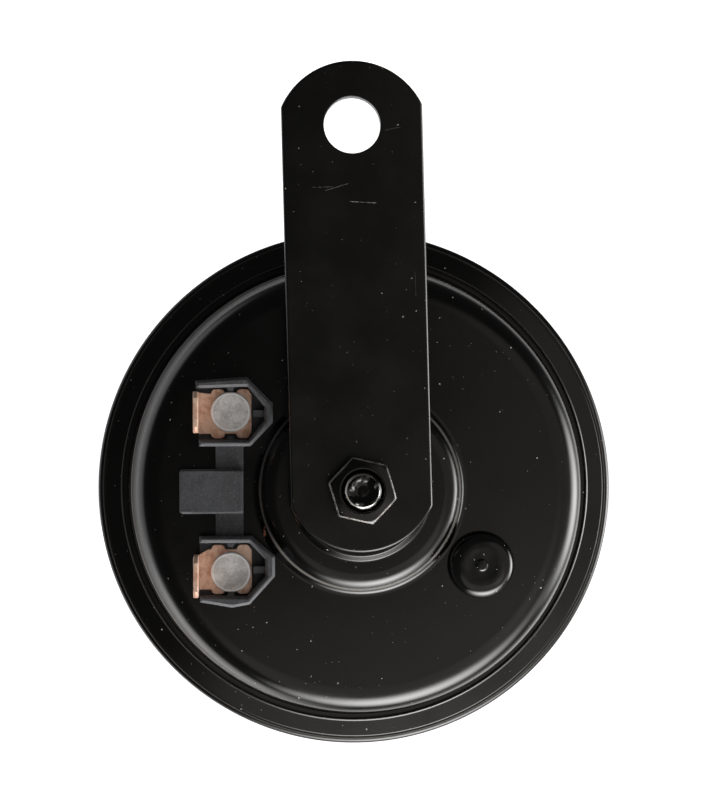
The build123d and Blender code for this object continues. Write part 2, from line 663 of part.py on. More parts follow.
SEAL_TOP = CUP_FACE - SEAL_HEIGHT
SEAL_DISH = CUP_FACE - SEAL_FLOOR
SEAL_NUB_TOP = SEAL_DISH - SEAL_NUB_HEIGHT
with BuildPart() as screw_seal:
    with BuildSketch(SCREW_SECTION):
        with BuildLine():
            FilletPolyline(
                (0, CUP_FACE),
                (SEAL_RADIUS, CUP_FACE),
                (SEAL_RADIUS - SEAL_RIM / 4, SEAL_TOP),
                (SEAL_RADIUS - SEAL_RIM, SEAL_TOP),
                (SEAL_RADIUS - 2 * SEAL_RIM, SEAL_DISH),
                (SEAL_NUB_RADIUS, SEAL_DISH),
                (SEAL_NUB_RADIUS / 2, SEAL_NUB_TOP),
                (0, SEAL_NUB_TOP),
                radius=[0, SEAL_RIM / 3, SEAL_RIM / 3, SEAL_RIM, SEAL_RIM / 4, SEAL_RIM / 4],
            )
            Line((0, SEAL_NUB_TOP), (0, CUP_FACE))
        make_face()
    revolve(axis=SCREW_AXIS)
screw_seal.part.label = "screw_seal"
export_step(screw_seal.part, "parts/screw_seal.step")

# ---- Terminal carrier --------------------------------------------------------------------------

POCKETS = [
    (UPPER_POCKET, UPPER_CAVITY, UPPER_TERMINAL_Z),
    (LOWER_POCKET, LOWER_CAVITY, LOWER_TERMINAL_Z),
]
RIVETS = [(RIVET_X, UPPER_RIVET_Z), (RIVET_X, LOWER_RIVET_Z)]
BAR_TOP = UPPER_CAVITY[-1][1]
BAR_BOTTOM = LOWER_CAVITY[-1][1]
PLATE_EDGE = TERMINAL_WIDTH / 2

with BuildPart() as terminal_carrier:
    # Badge, bare, with a bevelled edge
    with BuildSketch(rear_plane(CUP_FACE)):
        with Locations((RIVET_X + (BADGE_LEFT + BAR_RIGHT) / 2, (BADGE_TOP + BADGE_BOTTOM) / 2)):
            RectangleRounded(BAR_RIGHT - BADGE_LEFT, BADGE_TOP - BADGE_BOTTOM, BADGE_CORNER)
    extrude(amount=BADGE_HEIGHT)
    chamfer(faces().sort_by(Axis.Y)[0].edges(), BADGE_BEVEL)
    # Bar between the pockets, and the pockets' floors
    with BuildSketch(rear_plane(CUP_FACE)):
        with Locations((RIVET_X + (BAR_LEFT + BAR_RIGHT) / 2, (BAR_TOP + BAR_BOTTOM) / 2)):
            Rectangle(BAR_RIGHT - BAR_LEFT, BAR_TOP - BAR_BOTTOM)
    extrude(amount=BAR_HEIGHT)
    with BuildSketch(rear_plane(CUP_FACE)):
        with Locations((RIVET_X, 0)):
            Polygon(*UPPER_POCKET, align=None)
            Polygon(*LOWER_POCKET, align=None)
    extrude(amount=CARRIER_FLOOR)
    # Pocket walls, open at the left, with bevelled top edges
    for outline, cavity, _ in POCKETS:
        with BuildSketch(rear_plane(CARRIER_FACE)):
            with Locations((RIVET_X, 0)):
                Polygon(*outline, align=None)
                Polygon(*cavity, align=None, mode=Mode.SUBTRACT)
        extrude(amount=CARRIER_FACE - POCKET_FACE)
    chamfer(faces().sort_by(Axis.Y)[:2].edges(), POCKET_BEVEL)
    # Nibs that key between a terminal's ears, and a rib that faces its end
    for _, cavity, terminal_z in POCKETS:
        inner_wall = cavity[2][0] + POCKET_BEVEL
        rib_end = TERMINAL_RIGHT + RIB_GAP
        walls = [height for _, height in cavity]
        with BuildSketch(rear_plane(CARRIER_FACE)):
            with Locations((RIVET_X, 0)):
                for side, wall in ((1, max(walls)), (-1, min(walls))):
                    tip = terminal_z + side * (PLATE_EDGE + NIB_GAP)
                    Polygon(
                        (-NIB_WIDTH / 2, wall + side * POCKET_BEVEL),
                        (-NIB_WIDTH / 5, tip),
                        (NIB_WIDTH / 5, tip),
                        (NIB_WIDTH / 2, wall + side * POCKET_BEVEL),
                        align=None,
                    )
            with Locations((RIVET_X + (inner_wall + rib_end) / 2, terminal_z)):
                Rectangle(inner_wall - rib_end, RIB_WIDTH)
        extrude(amount=NIB_HEIGHT)
    # Bosses through the housing, and the rivets' holes
    with BuildSketch(rear_plane(INNER_FACE)):
        with Locations(*RIVETS):
            Circle(BOSS_RADIUS)
    extrude(amount=SHEET)
    with BuildSketch(rear_plane(INNER_FACE)):
        with Locations(*RIVETS):
            Circle(RIVET_SHANK_RADIUS + RIVET_CLEARANCE)
    extrude(amount=SHEET + CARRIER_FLOOR, mode=Mode.SUBTRACT)
terminal_carrier.part.label = "terminal_carrier"
export_step(terminal_carrier.part, "parts/terminal_carrier.step")

# ---- Terminals, rivets and insulating washers --------------------------------------------------


def blade_terminal(plate_z, rivet_z, blade_z):
    """A plate under the rivet with two ears at each edge, its left end bent up into a blade."""
    blade_right = BLADE_LEFT + TERMINAL_SHEET
    with BuildPart() as terminal:
        with BuildSketch(rear_plane(CARRIER_FACE)):
            with Locations((RIVET_X, 0)):
                Polygon(
                    (BLADE_LEFT, blade_z - PLATE_EDGE),
                    (blade_right, blade_z - PLATE_EDGE),
                    (blade_right, plate_z - PLATE_EDGE),
                    (TERMINAL_RIGHT, plate_z - PLATE_EDGE),
                    (TERMINAL_RIGHT, plate_z + PLATE_EDGE),
                    (blade_right + TERMINAL_CORNER, plate_z + PLATE_EDGE),
                    (blade_right, blade_z + PLATE_EDGE),
                    (BLADE_LEFT, blade_z + PLATE_EDGE),
                    align=None,
                )
            with Locations((RIVET_X, plate_z)):
                with GridLocations(2 * EAR_OFFSET, TERMINAL_WIDTH, 2, 2):
                    SlotOverall(EAR_WIDTH, 2 * EAR_REACH)
            with Locations((RIVET_X, rivet_z)):
                Circle(RIVET_SHANK_RADIUS + RIVET_CLEARANCE, mode=Mode.SUBTRACT)
        extrude(amount=TERMINAL_SHEET)
        with BuildSketch(rear_plane(TERMINAL_FACE)):
            with Locations((RIVET_X + BLADE_LEFT + TERMINAL_SHEET / 2, blade_z)):
                Rectangle(TERMINAL_SHEET, TERMINAL_WIDTH)
        extrude(amount=BLADE_LENGTH)
        chamfer(faces().sort_by(Axis.Y)[0].edges().filter_by(Axis.X), BLADE_CHAMFER)
        outer_bend = edges().filter_by(Axis.Z).group_by(Axis.X)[0].sort_by(Axis.Y)[-1]
        fillet(outer_bend, TERMINAL_SHEET / 2)
    return terminal


upper_terminal = blade_terminal(UPPER_TERMINAL_Z, UPPER_RIVET_Z, UPPER_BLADE_Z)
upper_terminal.part.label = "upper_terminal"
export_step(upper_terminal.part, "parts/upper_terminal.step")

lower_terminal = blade_terminal(LOWER_TERMINAL_Z, LOWER_RIVET_Z, LOWER_BLADE_Z)
lower_terminal.part.label = "lower_terminal"
export_step(lower_terminal.part, "parts/lower_terminal.step")


def terminal_rivet(rivet_z):
    """A flat round-headed rivet from the terminal through the carrier to its tail inside the housing."""
    centre = (STUD_X + RIVET_X, 0, STUD_Z + rivet_z)
    head_face = TERMINAL_FACE - RIVET_HEAD
    with BuildPart() as rivet:
        with BuildSketch(Plane(origin=centre, x_dir=(1, 0, 0), z_dir=(0, 0, 1))):
            with BuildLine():
                FilletPolyline(
                    (0, head_face),
                    (RIVET_HEAD_RADIUS, head_face),
                    (RIVET_HEAD_RADIUS, TERMINAL_FACE),
                    (RIVET_SHANK_RADIUS, TERMINAL_FACE),
                    (RIVET_SHANK_RADIUS, TAIL_FACE),
                    (RIVET_TAIL_RADIUS, TAIL_FACE),
                    (RIVET_TAIL_RADIUS, TAIL_FRONT),
                    (0, TAIL_FRONT),
                    radius=[RIVET_HEAD_ROUND, 0, 0, 0, 0, RIVET_HEAD_ROUND],
                )
                Line((0, TAIL_FRONT), (0, head_face))
            make_face()
        revolve(axis=Axis(centre, (0, 1, 0)))
    return rivet


upper_rivet = terminal_rivet(UPPER_RIVET_Z)
upper_rivet.part.label = "upper_rivet"
export_step(upper_rivet.part, "parts/upper_rivet.step")

lower_rivet = terminal_rivet(LOWER_RIVET_Z)
lower_rivet.part.label = "lower_rivet"
export_step(lower_rivet.part, "parts/lower_rivet.step")


def rivet_washer(rivet_z):
    """The insulating washer under a rivet's tail."""
    with BuildPart() as washer:
        with BuildSketch(rear_plane(TAIL_FACE)):
            with Locations((RIVET_X, rivet_z)):
                Circle(INSULATOR_RADIUS)
                Circle(RIVET_SHANK_RADIUS + RIVET_CLEARANCE, mode=Mode.SUBTRACT)
        extrude(amount=INSULATOR_THICKNESS)
    return washer


upper_insulator = rivet_washer(UPPER_RIVET_Z)
upper_insulator.part.label = "upper_insulator"
export_step(upper_insulator.part, "parts/upper_insulator.step")

lower_insulator = rivet_washer(LOWER_RIVET_Z)
lower_insulator.part.label = "lower_insulator"
export_step(lower_insulator.part, "parts/lower_insulator.step")

# ---- Leads -------------------------------------------------------------------------------------


def lead(*points):
    """A lead of straight runs joined by arcs that are as large as its runs allow."""
    route = [Vector(STUD_X + x, depth, STUD_Z + z) for x, depth, z in points]
    radii = []
    for before, corner, after in zip(route, route[1:], route[2:]):
        turn = math.radians((corner - before).get_angle(after - corner))
        shorter_run = min((corner - before).length, (after - corner).length)
        radii.append(LEAD_BEND * shorter_run / math.tan(turn / 2))
    with BuildPart() as wire:
        with BuildLine():
            path = FilletPolyline(*route, radius=radii)
        with BuildSketch(Plane(origin=path @ 0, z_dir=path % 0)):
            Circle(LEAD_RADIUS)
        sweep()
    return wire


def round_stud(angle, radius):
    """A place at an angle and a radius round the stud, across and up from its axis."""
    return radius * math.cos(math.radians(angle)), radius * math.sin(math.radians(angle))


WINDING_END = WINDING_RADIUS + LEAD_GAP
COIL_ANGLE = math.degrees(math.atan2(LOWER_RIVET_Z, RIVET_X))
coil_x, coil_z = round_stud(COIL_ANGLE, WINDING_END)
coil_lead = lead(
    (RIVET_X, TAIL_FRONT, LOWER_RIVET_Z),
    (RIVET_X, LEAD_DEPTH, LOWER_RIVET_Z),
    (coil_x, LEAD_DEPTH, coil_z),
)
coil_lead.part.label = "coil_lead"
export_step(coil_lead.part, "parts/coil_lead.step")

start_x, start_z = round_stud(BREAKER_LEAD_ANGLE, WINDING_END)
turn_x, turn_z = round_stud(BREAKER_LEAD_ANGLE, BOBBIN_RADIUS + BREAKER_LEAD_STEP)
moving_x, moving_z = on_arms(-SOLDER_TAB_OFFSET, TAB_REACH)
breaker_lead = lead(
    (start_x, LEAD_DEPTH, start_z),
    (turn_x, LEAD_DEPTH, turn_z),
    (moving_x, LEAD_DEPTH, moving_z),
    (moving_x, MOVING_ARM_FACE, moving_z),
)
breaker_lead.part.label = "breaker_lead"
export_step(breaker_lead.part, "parts/breaker_lead.step")

fixed_x, fixed_z = on_arms(SOLDER_TAB_OFFSET, TAB_REACH)
supply_route = [round_stud(angle, CUP_TOP_RADIUS - SHEET - gap) for angle, gap in SUPPLY_LEAD_ROUTE]
supply_lead = lead(
    (RIVET_X, TAIL_FRONT, UPPER_RIVET_Z),
    (RIVET_X, LEAD_DEPTH, UPPER_RIVET_Z),
    *[(x, LEAD_DEPTH + SUPPLY_LEAD_RISE, z) for x, z in supply_route],
    (fixed_x, LEAD_DEPTH + SUPPLY_LEAD_RISE, fixed_z),
    (fixed_x, FIXED_ARM_FACE, fixed_z),
)
supply_lead.part.label = "supply_lead"
export_step(supply_lead.part, "parts/supply_lead.step")

# ---- Diaphragm and gaskets ---------------------------------------------------------------------


def gasket(depth):
    """A flat ring in the crimped joint, from a depth forward."""
    with BuildPart() as ring:
        with BuildSketch(rear_plane(depth + GASKET)):
            Circle(CLAMPED_RADIUS)
            Circle(CUP_BASE_RADIUS + GASKET_STEP, mode=Mode.SUBTRACT)
        extrude(amount=GASKET)
    return ring


rear_gasket = gasket(REAR_GASKET_FACE)
rear_gasket.part.label = "rear_gasket"
export_step(rear_gasket.part, "parts/rear_gasket.step")

front_gasket = gasket(FRONT_GASKET_FACE)
front_gasket.part.label = "front_gasket"
export_step(front_gasket.part, "parts/front_gasket.step")

with BuildPart() as diaphragm:
    with BuildSketch(SECTION):
        with BuildLine():
            FilletPolyline(
                (BOLT_BORE, HUB_FRONT),
                (DIAPHRAGM_FLAT_RADIUS, HUB_FRONT),
                (DIAPHRAGM_CONE_RADIUS, DIAPHRAGM_FACE),
                (CLAMPED_RADIUS, DIAPHRAGM_FACE),
                radius=DIAPHRAGM_BEND_RADIUS,
            )
            offset(amount=DIAPHRAGM, side=Side.LEFT)
        make_face()
    revolve(axis=HORN_AXIS)
diaphragm.part.label = "diaphragm"
export_step(diaphragm.part, "parts/diaphragm.step")

# ---- Armature, tone disc and what clamps them --------------------------------------------------

with BuildPart() as armature:
    with BuildSketch(SECTION):
        Polygon(
            (BOLT_HEAD_RADIUS, ARMATURE_FACE),
            (ARMATURE_RADIUS - ARMATURE_CHAMFER, ARMATURE_FACE),
            (ARMATURE_RADIUS, ARMATURE_FACE + ARMATURE_CHAMFER),
            (ARMATURE_RADIUS, ARMATURE_FRONT - ARMATURE_CHAMFER),
            (ARMATURE_RADIUS - ARMATURE_CHAMFER, ARMATURE_FRONT),
            (ARMATURE_HUB_RADIUS, ARMATURE_FRONT),
            (ARMATURE_HUB_RADIUS, HUB_FRONT),
            (BOLT_BORE, HUB_FRONT),
            (BOLT_BORE, ARMATURE_FACE + BOLT_HEAD),
            (BOLT_HEAD_RADIUS, ARMATURE_FACE + BOLT_HEAD),
            align=None,
        )
    revolve(axis=HORN_AXIS)
    with BuildSketch(breaker_plane(ARMATURE_FRONT)):
        with Locations((PUSHER_OFFSET, PUSHER_REACH)):
            Circle(PUSHER_RADIUS + THREAD_FIT)
    extrude(amount=ARMATURE_THICKNESS, mode=Mode.SUBTRACT)
armature.part.label = "armature"
export_step(armature.part, "parts/armature.step")

PUSHER_FACE = MOVING_CONTACT_FACE + PUSHER_GAP
armature_pusher = breaker_pin(
    PUSHER_REACH, PUSHER_OFFSET, PUSHER_RADIUS, PUSHER_FACE, ARMATURE_FRONT - PUSHER_FACE
)
armature_pusher.part.label = "armature_pusher"
export_step(armature_pusher.part, "parts/armature_pusher.step")

with BuildPart() as armature_bolt:
    with BuildSketch(SECTION):
        Polygon(
            (0, ARMATURE_FACE),
            (BOLT_HEAD_RADIUS - BOLT_CLEARANCE, ARMATURE_FACE),
            (BOLT_HEAD_RADIUS - BOLT_CLEARANCE, ARMATURE_FACE + BOLT_HEAD),
            (BOLT_RADIUS, ARMATURE_FACE + BOLT_HEAD),
            (BOLT_RADIUS, BOLT_TIP - STUD_CHAMFER),
            (BOLT_RADIUS - STUD_CHAMFER, BOLT_TIP),
            (0, BOLT_TIP),
            align=None,
        )
    revolve(axis=HORN_AXIS)
armature_bolt.part.label = "armature_bolt"
export_step(armature_bolt.part, "parts/armature_bolt.step")


def washer_ring(depth, thickness, radius):
    """A flat ring on the armature's bolt, from a depth forward."""
    with BuildPart() as ring:
        with BuildSketch(rear_plane(depth + thickness)):
            Circle(radius)
            Circle(BOLT_BORE, mode=Mode.SUBTRACT)
        extrude(amount=thickness)
    return ring


diaphragm_washer = washer_ring(WASHER_FACE, WASHER_THICKNESS, WASHER_RADIUS)
diaphragm_washer.part.label = "diaphragm_washer"
export_step(diaphragm_washer.part, "parts/diaphragm_washer.step")

disc_spacer = washer_ring(SPACER_FACE, SPACER_LENGTH, SPACER_RADIUS)
disc_spacer.part.label = "disc_spacer"
export_step(disc_spacer.part, "parts/disc_spacer.step")

with BuildPart() as tone_disc:
    with BuildSketch(SECTION):
        with BuildLine():
            FilletPolyline(
                (BOLT_BORE, DISC_FACE),
                (TONE_DISC_HUB_RADIUS, DISC_FACE),
                (TONE_DISC_CROWN_RADIUS, DISC_FACE + TONE_DISC_STEP),
                (TONE_DISC_RADIUS, DISC_FACE + TONE_DISC_STEP - TONE_DISC_DISH),
                radius=TONE_DISC_BEND_RADIUS,
            )
            offset(amount=TONE_DISC_SHEET, side=Side.LEFT)
        make_face()
    revolve(axis=HORN_AXIS)
tone_disc.part.label = "tone_disc"
export_step(tone_disc.part, "parts/tone_disc.step")

with BuildPart() as lock_washer:
    with BuildSketch(rear_plane(DISC_NUT_FACE)):
        Circle(LOCK_WASHER_RADIUS)
        Circle(BOLT_BORE, mode=Mode.SUBTRACT)
        with Locations((LOCK_WASHER_RADIUS, 0)):
            Rectangle(2 * LOCK_WASHER_RADIUS, LOCK_WASHER_SPLIT, mode=Mode.SUBTRACT)
    extrude(amount=LOCK_WASHER_THICKNESS)
lock_washer.part.label = "lock_washer"
export_step(lock_washer.part, "parts/lock_washer.step")

disc_nut = hexagon_nut(DISC_NUT_ACROSS_FLATS, DISC_NUT_HEIGHT, BOLT_RADIUS + THREAD_FIT, DISC_NUT_FACE, 0, 1)
disc_nut.part.label = "disc_nut"
export_step(disc_nut.part, "parts/disc_nut.step")
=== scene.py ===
import math

import bmesh
import bpy
from bpy.props import FloatProperty, FloatVectorProperty, PointerProperty
from mathutils import Matrix, Vector


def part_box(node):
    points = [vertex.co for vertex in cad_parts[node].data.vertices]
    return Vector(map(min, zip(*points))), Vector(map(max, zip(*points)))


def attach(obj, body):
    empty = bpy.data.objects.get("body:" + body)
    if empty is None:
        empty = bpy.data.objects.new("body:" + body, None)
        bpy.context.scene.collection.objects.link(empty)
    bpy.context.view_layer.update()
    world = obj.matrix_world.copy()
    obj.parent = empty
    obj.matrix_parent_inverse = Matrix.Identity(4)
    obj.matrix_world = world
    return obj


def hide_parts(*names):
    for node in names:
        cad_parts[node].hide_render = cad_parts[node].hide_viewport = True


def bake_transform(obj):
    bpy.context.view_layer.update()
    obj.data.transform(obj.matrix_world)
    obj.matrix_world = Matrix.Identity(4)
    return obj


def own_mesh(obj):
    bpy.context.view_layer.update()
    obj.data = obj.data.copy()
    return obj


bl_info = {
    "name": "Car Horn Finisher",
    "version": (1, 0, 0),
    "blender": (4, 5, 0),
    "location": "3D View > Sidebar > Horn",
    "description": "Gives a car horn its lacquer, plastic, copper and steel, threads and wire, and a studio",
    "category": "Object",
}

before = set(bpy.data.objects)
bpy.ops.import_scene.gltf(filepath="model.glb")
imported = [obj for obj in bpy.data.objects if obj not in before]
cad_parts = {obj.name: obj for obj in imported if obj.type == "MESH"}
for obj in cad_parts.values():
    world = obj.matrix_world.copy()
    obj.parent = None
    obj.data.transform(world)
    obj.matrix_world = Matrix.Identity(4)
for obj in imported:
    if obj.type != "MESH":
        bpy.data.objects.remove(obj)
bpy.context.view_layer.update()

# ---- Places, taken from the frame --------------------------------------------

MM = 0.001


def middle(node):
    """The centre of a CAD node's box."""
    low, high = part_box(node)
    return (low + high) / 2


STUD = middle("pole_core")
SCREW = middle("adjusting_screw")
NUT_LOW, NUT_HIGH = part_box("bracket_nut")
CORE_LOW, CORE_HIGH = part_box("pole_core")
BOLT_LOW, BOLT_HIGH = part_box("armature_bolt")
SCREW_LOW, SCREW_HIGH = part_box("adjusting_screw")
COIL_LOW, COIL_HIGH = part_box("coil_winding")
DIAPHRAGM_LOW, DIAPHRAGM_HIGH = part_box("diaphragm")
RIM_LOW, RIM_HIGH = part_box("crimp_ring")
HOLE = Vector((0, 0, 0))
# The cup's flat face, its wall's radii at the face and at the flange, its sheet, and the flange's rear side.
CUP_FACE = 4.2 * MM
CUP_TOP, CUP_BASE = 37.3 * MM, 39.3 * MM
SHEET = 1.0 * MM
FLANGE = DIAPHRAGM_LOW.y - 1.5 * MM


def mm(*values):
    """Lengths, or points made of them, given in millimetres."""
    return [tuple(mm(*value)) if isinstance(value, tuple) else value * MM for value in values]


# ---- Node helpers ------------------------------------------------------------


def node(tree, kind, sockets=None, **settings):
    """A new node with its settings, and its inputs set to values or linked to outputs."""
    made = tree.nodes.new(kind)
    for name, value in settings.items():
        setattr(made, name, value)
    for name, value in (sockets or {}).items():
        if isinstance(value, bpy.types.NodeSocket):
            tree.links.new(value, made.inputs[name])
        else:
            made.inputs[name].default_value = value
    return made


def maths(tree, operation, first, second=0.0):
    """The result of a Math node on one or two values."""
    return node(tree, "ShaderNodeMath", {0: first, 1: second}, operation=operation).outputs[0]


def joiner(operation):
    """A function that joins two values by a Math node."""
    return lambda tree, first, second: maths(tree, operation, first, second)


times, plus, minus, larger = (joiner(name) for name in ("MULTIPLY", "ADD", "SUBTRACT", "MAXIMUM"))


def remap(tree, value, low, high, to_low=0.0, to_high=1.0, smooth=True):
    """A value's range from low to high, stretched to another range and held at its ends."""
    kind = "SMOOTHSTEP" if smooth else "LINEAR"
    sockets = {"Value": value, "From Min": low, "From Max": high, "To Min": to_low, "To Max": to_high}
    return node(tree, "ShaderNodeMapRange", sockets, interpolation_type=kind).outputs["Result"]


def noise(tree, place, size, detail=2.0, roughness=0.5, **settings):
    """Noise whose lumps are about a size across, in metres."""
    sockets = {"Vector": place, "Scale": 1 / size, "Detail": detail, "Roughness": roughness}
    return node(tree, "ShaderNodeTexNoise", sockets, **settings).outputs["Fac"]


def tint(tree, factor, first, second):
    """A colour between two, which are colours or outputs."""
    mix = node(tree, "ShaderNodeMix", data_type="RGBA")
    for socket, value in ((mix.inputs[0], factor), (mix.inputs[6], first), (mix.inputs[7], second)):
        if isinstance(value, bpy.types.NodeSocket):
            tree.links.new(value, socket)
        else:
            socket.default_value = (*value, 1.0) if hasattr(value, "__len__") else value
    return mix.outputs[2]


def darker(colour, share):
    """A colour dimmed to a share."""
    return [share * part for part in colour]


def feed(tree, surface, outputs):
    """Links outputs to the named inputs of a surface shader."""
    for name, output in outputs.items():
        tree.links.new(output, surface.inputs[name])


def emboss(tree, surface, height, depth, below=None):
    """Bump of a depth in metres on a surface shader, over another bump or by itself."""
    sockets = {"Height": height, "Distance": depth, "Strength": 1.0}
    if below is not None:
        sockets["Normal"] = below
    normal = node(tree, "ShaderNodeBump", sockets).outputs["Normal"]
    tree.links.new(normal, surface.inputs["Normal"])
    return normal


def new_finish(name, colour, roughness, metallic=0.0):
    """A material with one surface shader: the material, its tree, the shader and the place on the object."""
    material = bpy.data.materials.new(name)
    material.use_nodes = True
    tree = material.node_tree
    surface = tree.nodes["Principled BSDF"]
    surface.inputs["Base Color"].default_value = (*colour, 1.0)
    surface.inputs["Roughness"].default_value = roughness
    surface.inputs["Metallic"].default_value = metallic
    place = node(tree, "ShaderNodeTexCoord").outputs["Object"]
    return material, tree, surface, place


def centred(tree, place, centre, turn=(0.0, 0.0, 0.0)):
    """The place on the object, measured from a centre and turned."""
    shifted = node(tree, "ShaderNodeVectorMath", {0: place, 1: centre}, operation="SUBTRACT").outputs[0]
    return node(tree, "ShaderNodeMapping", {"Vector": shifted, "Rotation": turn}).outputs["Vector"]


def grains(tree, place, spacing, radius, share):
    """A mask of small grains scattered about a spacing apart, of which only a share is there."""
    ragged = node(tree, "ShaderNodeTexNoise", {"Vector": place, "Scale": 1.2 / radius}).outputs["Color"]
    sockets = {0: ragged, 1: (2.2 * radius,) * 3, 2: place}
    bent = node(tree, "ShaderNodeVectorMath", sockets, operation="MULTIPLY_ADD").outputs[0]
    cells = node(tree, "ShaderNodeTexVoronoi", {"Vector": bent, "Scale": 1 / spacing})
    near = remap(tree, cells.outputs["Distance"], radius / spacing, 0.5 * radius / spacing)
    chosen = node(tree, "ShaderNodeSeparateColor", {"Color": cells.outputs["Color"]}).outputs["Red"]
    return times(tree, near, maths(tree, "LESS_THAN", chosen, share))


def distance(tree, local, scale):
    """How far a place is from its centre, with each axis scaled."""
    scaled = node(tree, "ShaderNodeVectorMath", {0: local, 1: scale}, operation="MULTIPLY").outputs[0]
    return node(tree, "ShaderNodeVectorMath", {0: scaled}, operation="LENGTH").outputs["Value"]


def scratch(tree, place, centre, length, width, lean):
    """A mask of one straight scratch on the rear side, its lean in degrees from the level."""
    along = centred(tree, place, centre, (0.0, math.radians(lean), 0.0))
    axes = node(tree, "ShaderNodeSeparateXYZ", {"Vector": along})
    inside = remap(tree, maths(tree, "ABSOLUTE", axes.outputs["X"]), length / 2, 0.4 * length)
    across = remap(tree, maths(tree, "ABSOLUTE", axes.outputs["Z"]), width / 2, 0.2 * width)
    broken = remap(tree, noise(tree, place, 0.5 * MM), 0.3, 0.5)
    return times(tree, times(tree, inside, across), broken)


def chip(tree, place, centre, width, height):
    """A mask of one ragged chip in the lacquer on the rear side."""
    local = centred(tree, place, centre)
    away = distance(tree, local, (2 / width, 0.0, 2 / height))
    ragged = plus(tree, away, remap(tree, noise(tree, place, 0.35 * MM, 3.0), 0.3, 0.7, -0.7, 0.7))
    return remap(tree, ragged, 1.0, 0.85)


def from_axis(tree, place, centre=STUD):
    """How far a place is from an axis along Y."""
    return distance(tree, centred(tree, place, centre), (1.0, 0.0, 1.0))


def painted_wall_sheen(tree, place):
    """A mask of the cup's side wall, painted paler there as a painted sheen and made rougher."""
    away = from_axis(tree, place)
    depth = node(tree, "ShaderNodeSeparateXYZ", {"Vector": place}).outputs["Y"]
    beside = times(tree, remap(tree, away, CUP_BASE - 2.4 * MM, CUP_BASE - 1.6 * MM),
                   remap(tree, away, CUP_BASE + 0.4 * MM, CUP_BASE + 0.25 * MM))
    return times(tree, beside, remap(tree, depth, 5.5 * MM, 7.5 * MM))


def painted_highlight_ring(tree, place, radius, half_width, strength):
    """A mask of a pale band round the horn: a painted highlight along an edge or in a corner."""
    off = maths(tree, "ABSOLUTE", minus(tree, from_axis(tree, place), radius))
    return times(tree, remap(tree, off, half_width, 0.3 * half_width), strength)


# ---- Finishes ----------------------------------------------------------------


# Painted highlights: these pale bands stand in for lit edges and lit corners.
# Pale bands round the horn. In millimetres: the radius, at the dome's foot, at the foot of the cup's wall, on
# the lip's edge and on the rim's shoulder, and half the width across the axis. Then how pale each is.
PAINTED_HIGHLIGHT_RINGS = ((16.75, 0.32, 0.3), (39.08, 0.24, 0.9), (40.85, 0.18, 0.08), (44.08, 0.14, 0.13))


def lacquer(name, colour, dust_and_sheen, gloss, marks=(), chips=(), bare=(1.0, 1.0, 1.0), walled=False):
    """Stoved black lacquer on pressed steel: a slight ripple, grains of dust, thin bare scratches and chips.

    Edges that a piece marks as worn are rubbed grey. A walled finish adds a painted sheen and painted
    highlights.
    """
    material, tree, surface, place = new_finish(name, colour, gloss)
    dusty = larger(tree, grains(tree, place, 2.4 * MM, 0.16 * MM, 0.55),
                   times(tree, grains(tree, place, 1.1 * MM, 0.09 * MM, 0.4), 0.5))
    for centre, length, width, lean, strength in marks:
        line = times(tree, scratch(tree, place, centre, length, width, lean), strength)
        dusty = larger(tree, dusty, line)
    shade = tint(tree, dusty, colour, dust_and_sheen)
    if walled:
        # Painted sheen on the cup's side wall and painted highlight bands, tinted to the dust colour; both
        # also roughen the lacquer.
        sheen_mask = painted_wall_sheen(tree, place)
        pale = times(tree, sheen_mask, 0.1)
        for radius, half_width, strength in PAINTED_HIGHLIGHT_RINGS:
            ring = painted_highlight_ring(tree, place, radius * MM, half_width * MM, strength)
            pale = larger(tree, pale, ring)
        shade = tint(tree, pale, shade, dust_and_sheen)
        dusty = larger(tree, larger(tree, dusty, pale), times(tree, sheen_mask, 0.5))
    for centre, width, height in chips:
        mask = chip(tree, place, centre, width, height)
        shade = tint(tree, mask, shade, bare)
        dusty = larger(tree, dusty, mask)
    worn = node(tree, "ShaderNodeAttribute", attribute_name="worn").outputs["Fac"]
    rubbed = times(tree, worn, remap(tree, noise(tree, place, 1.2 * MM, 3.0), 0.3, 0.6, 0.15, 0.6))
    cloud = remap(tree, noise(tree, place, 9 * MM, 3.0), 0.3, 0.7, gloss * 0.85, gloss * 1.2)
    feed(tree, surface, {
        "Base Color": tint(tree, rubbed, shade, dust_and_sheen), "Roughness": larger(tree, cloud, dusty),
    })
    ripple = emboss(tree, surface, noise(tree, place, 12 * MM, 1.0), 0.03 * MM)
    peel = emboss(tree, surface, noise(tree, place, 1.1 * MM, 1.0), 0.0035 * MM, ripple)
    emboss(tree, surface, dusty, 0.03 * MM, peel)
    return material


def moulded_plastic(name, colour, roughness=0.6, grain=0.016 * MM):
    """Glass-filled moulded plastic: a fine grain, soft clouds of flow and paler rubbed spots."""
    material, tree, surface, place = new_finish(name, colour, roughness)
    cloud = noise(tree, place, 2.5 * MM, 4.0, 0.6)
    flecks = remap(tree, noise(tree, place, 0.3 * MM, 3.0, 0.7), 0.45, 0.75)
    pale = [min(1.0, 1.9 * part + 0.01) for part in colour]
    clouded = tint(tree, remap(tree, cloud, 0.35, 0.7), darker(colour, 0.6), colour)
    feed(tree, surface, {
        "Base Color": tint(tree, times(tree, flecks, 0.6), clouded, pale),
        "Roughness": remap(tree, cloud, 0.3, 0.7, roughness - 0.08, roughness + 0.1),
    })
    coarse = emboss(tree, surface, noise(tree, place, 0.6 * MM, 3.0), 2 * grain)
    emboss(tree, surface, noise(tree, place, 0.14 * MM, 2.0), grain, coarse)
    return material


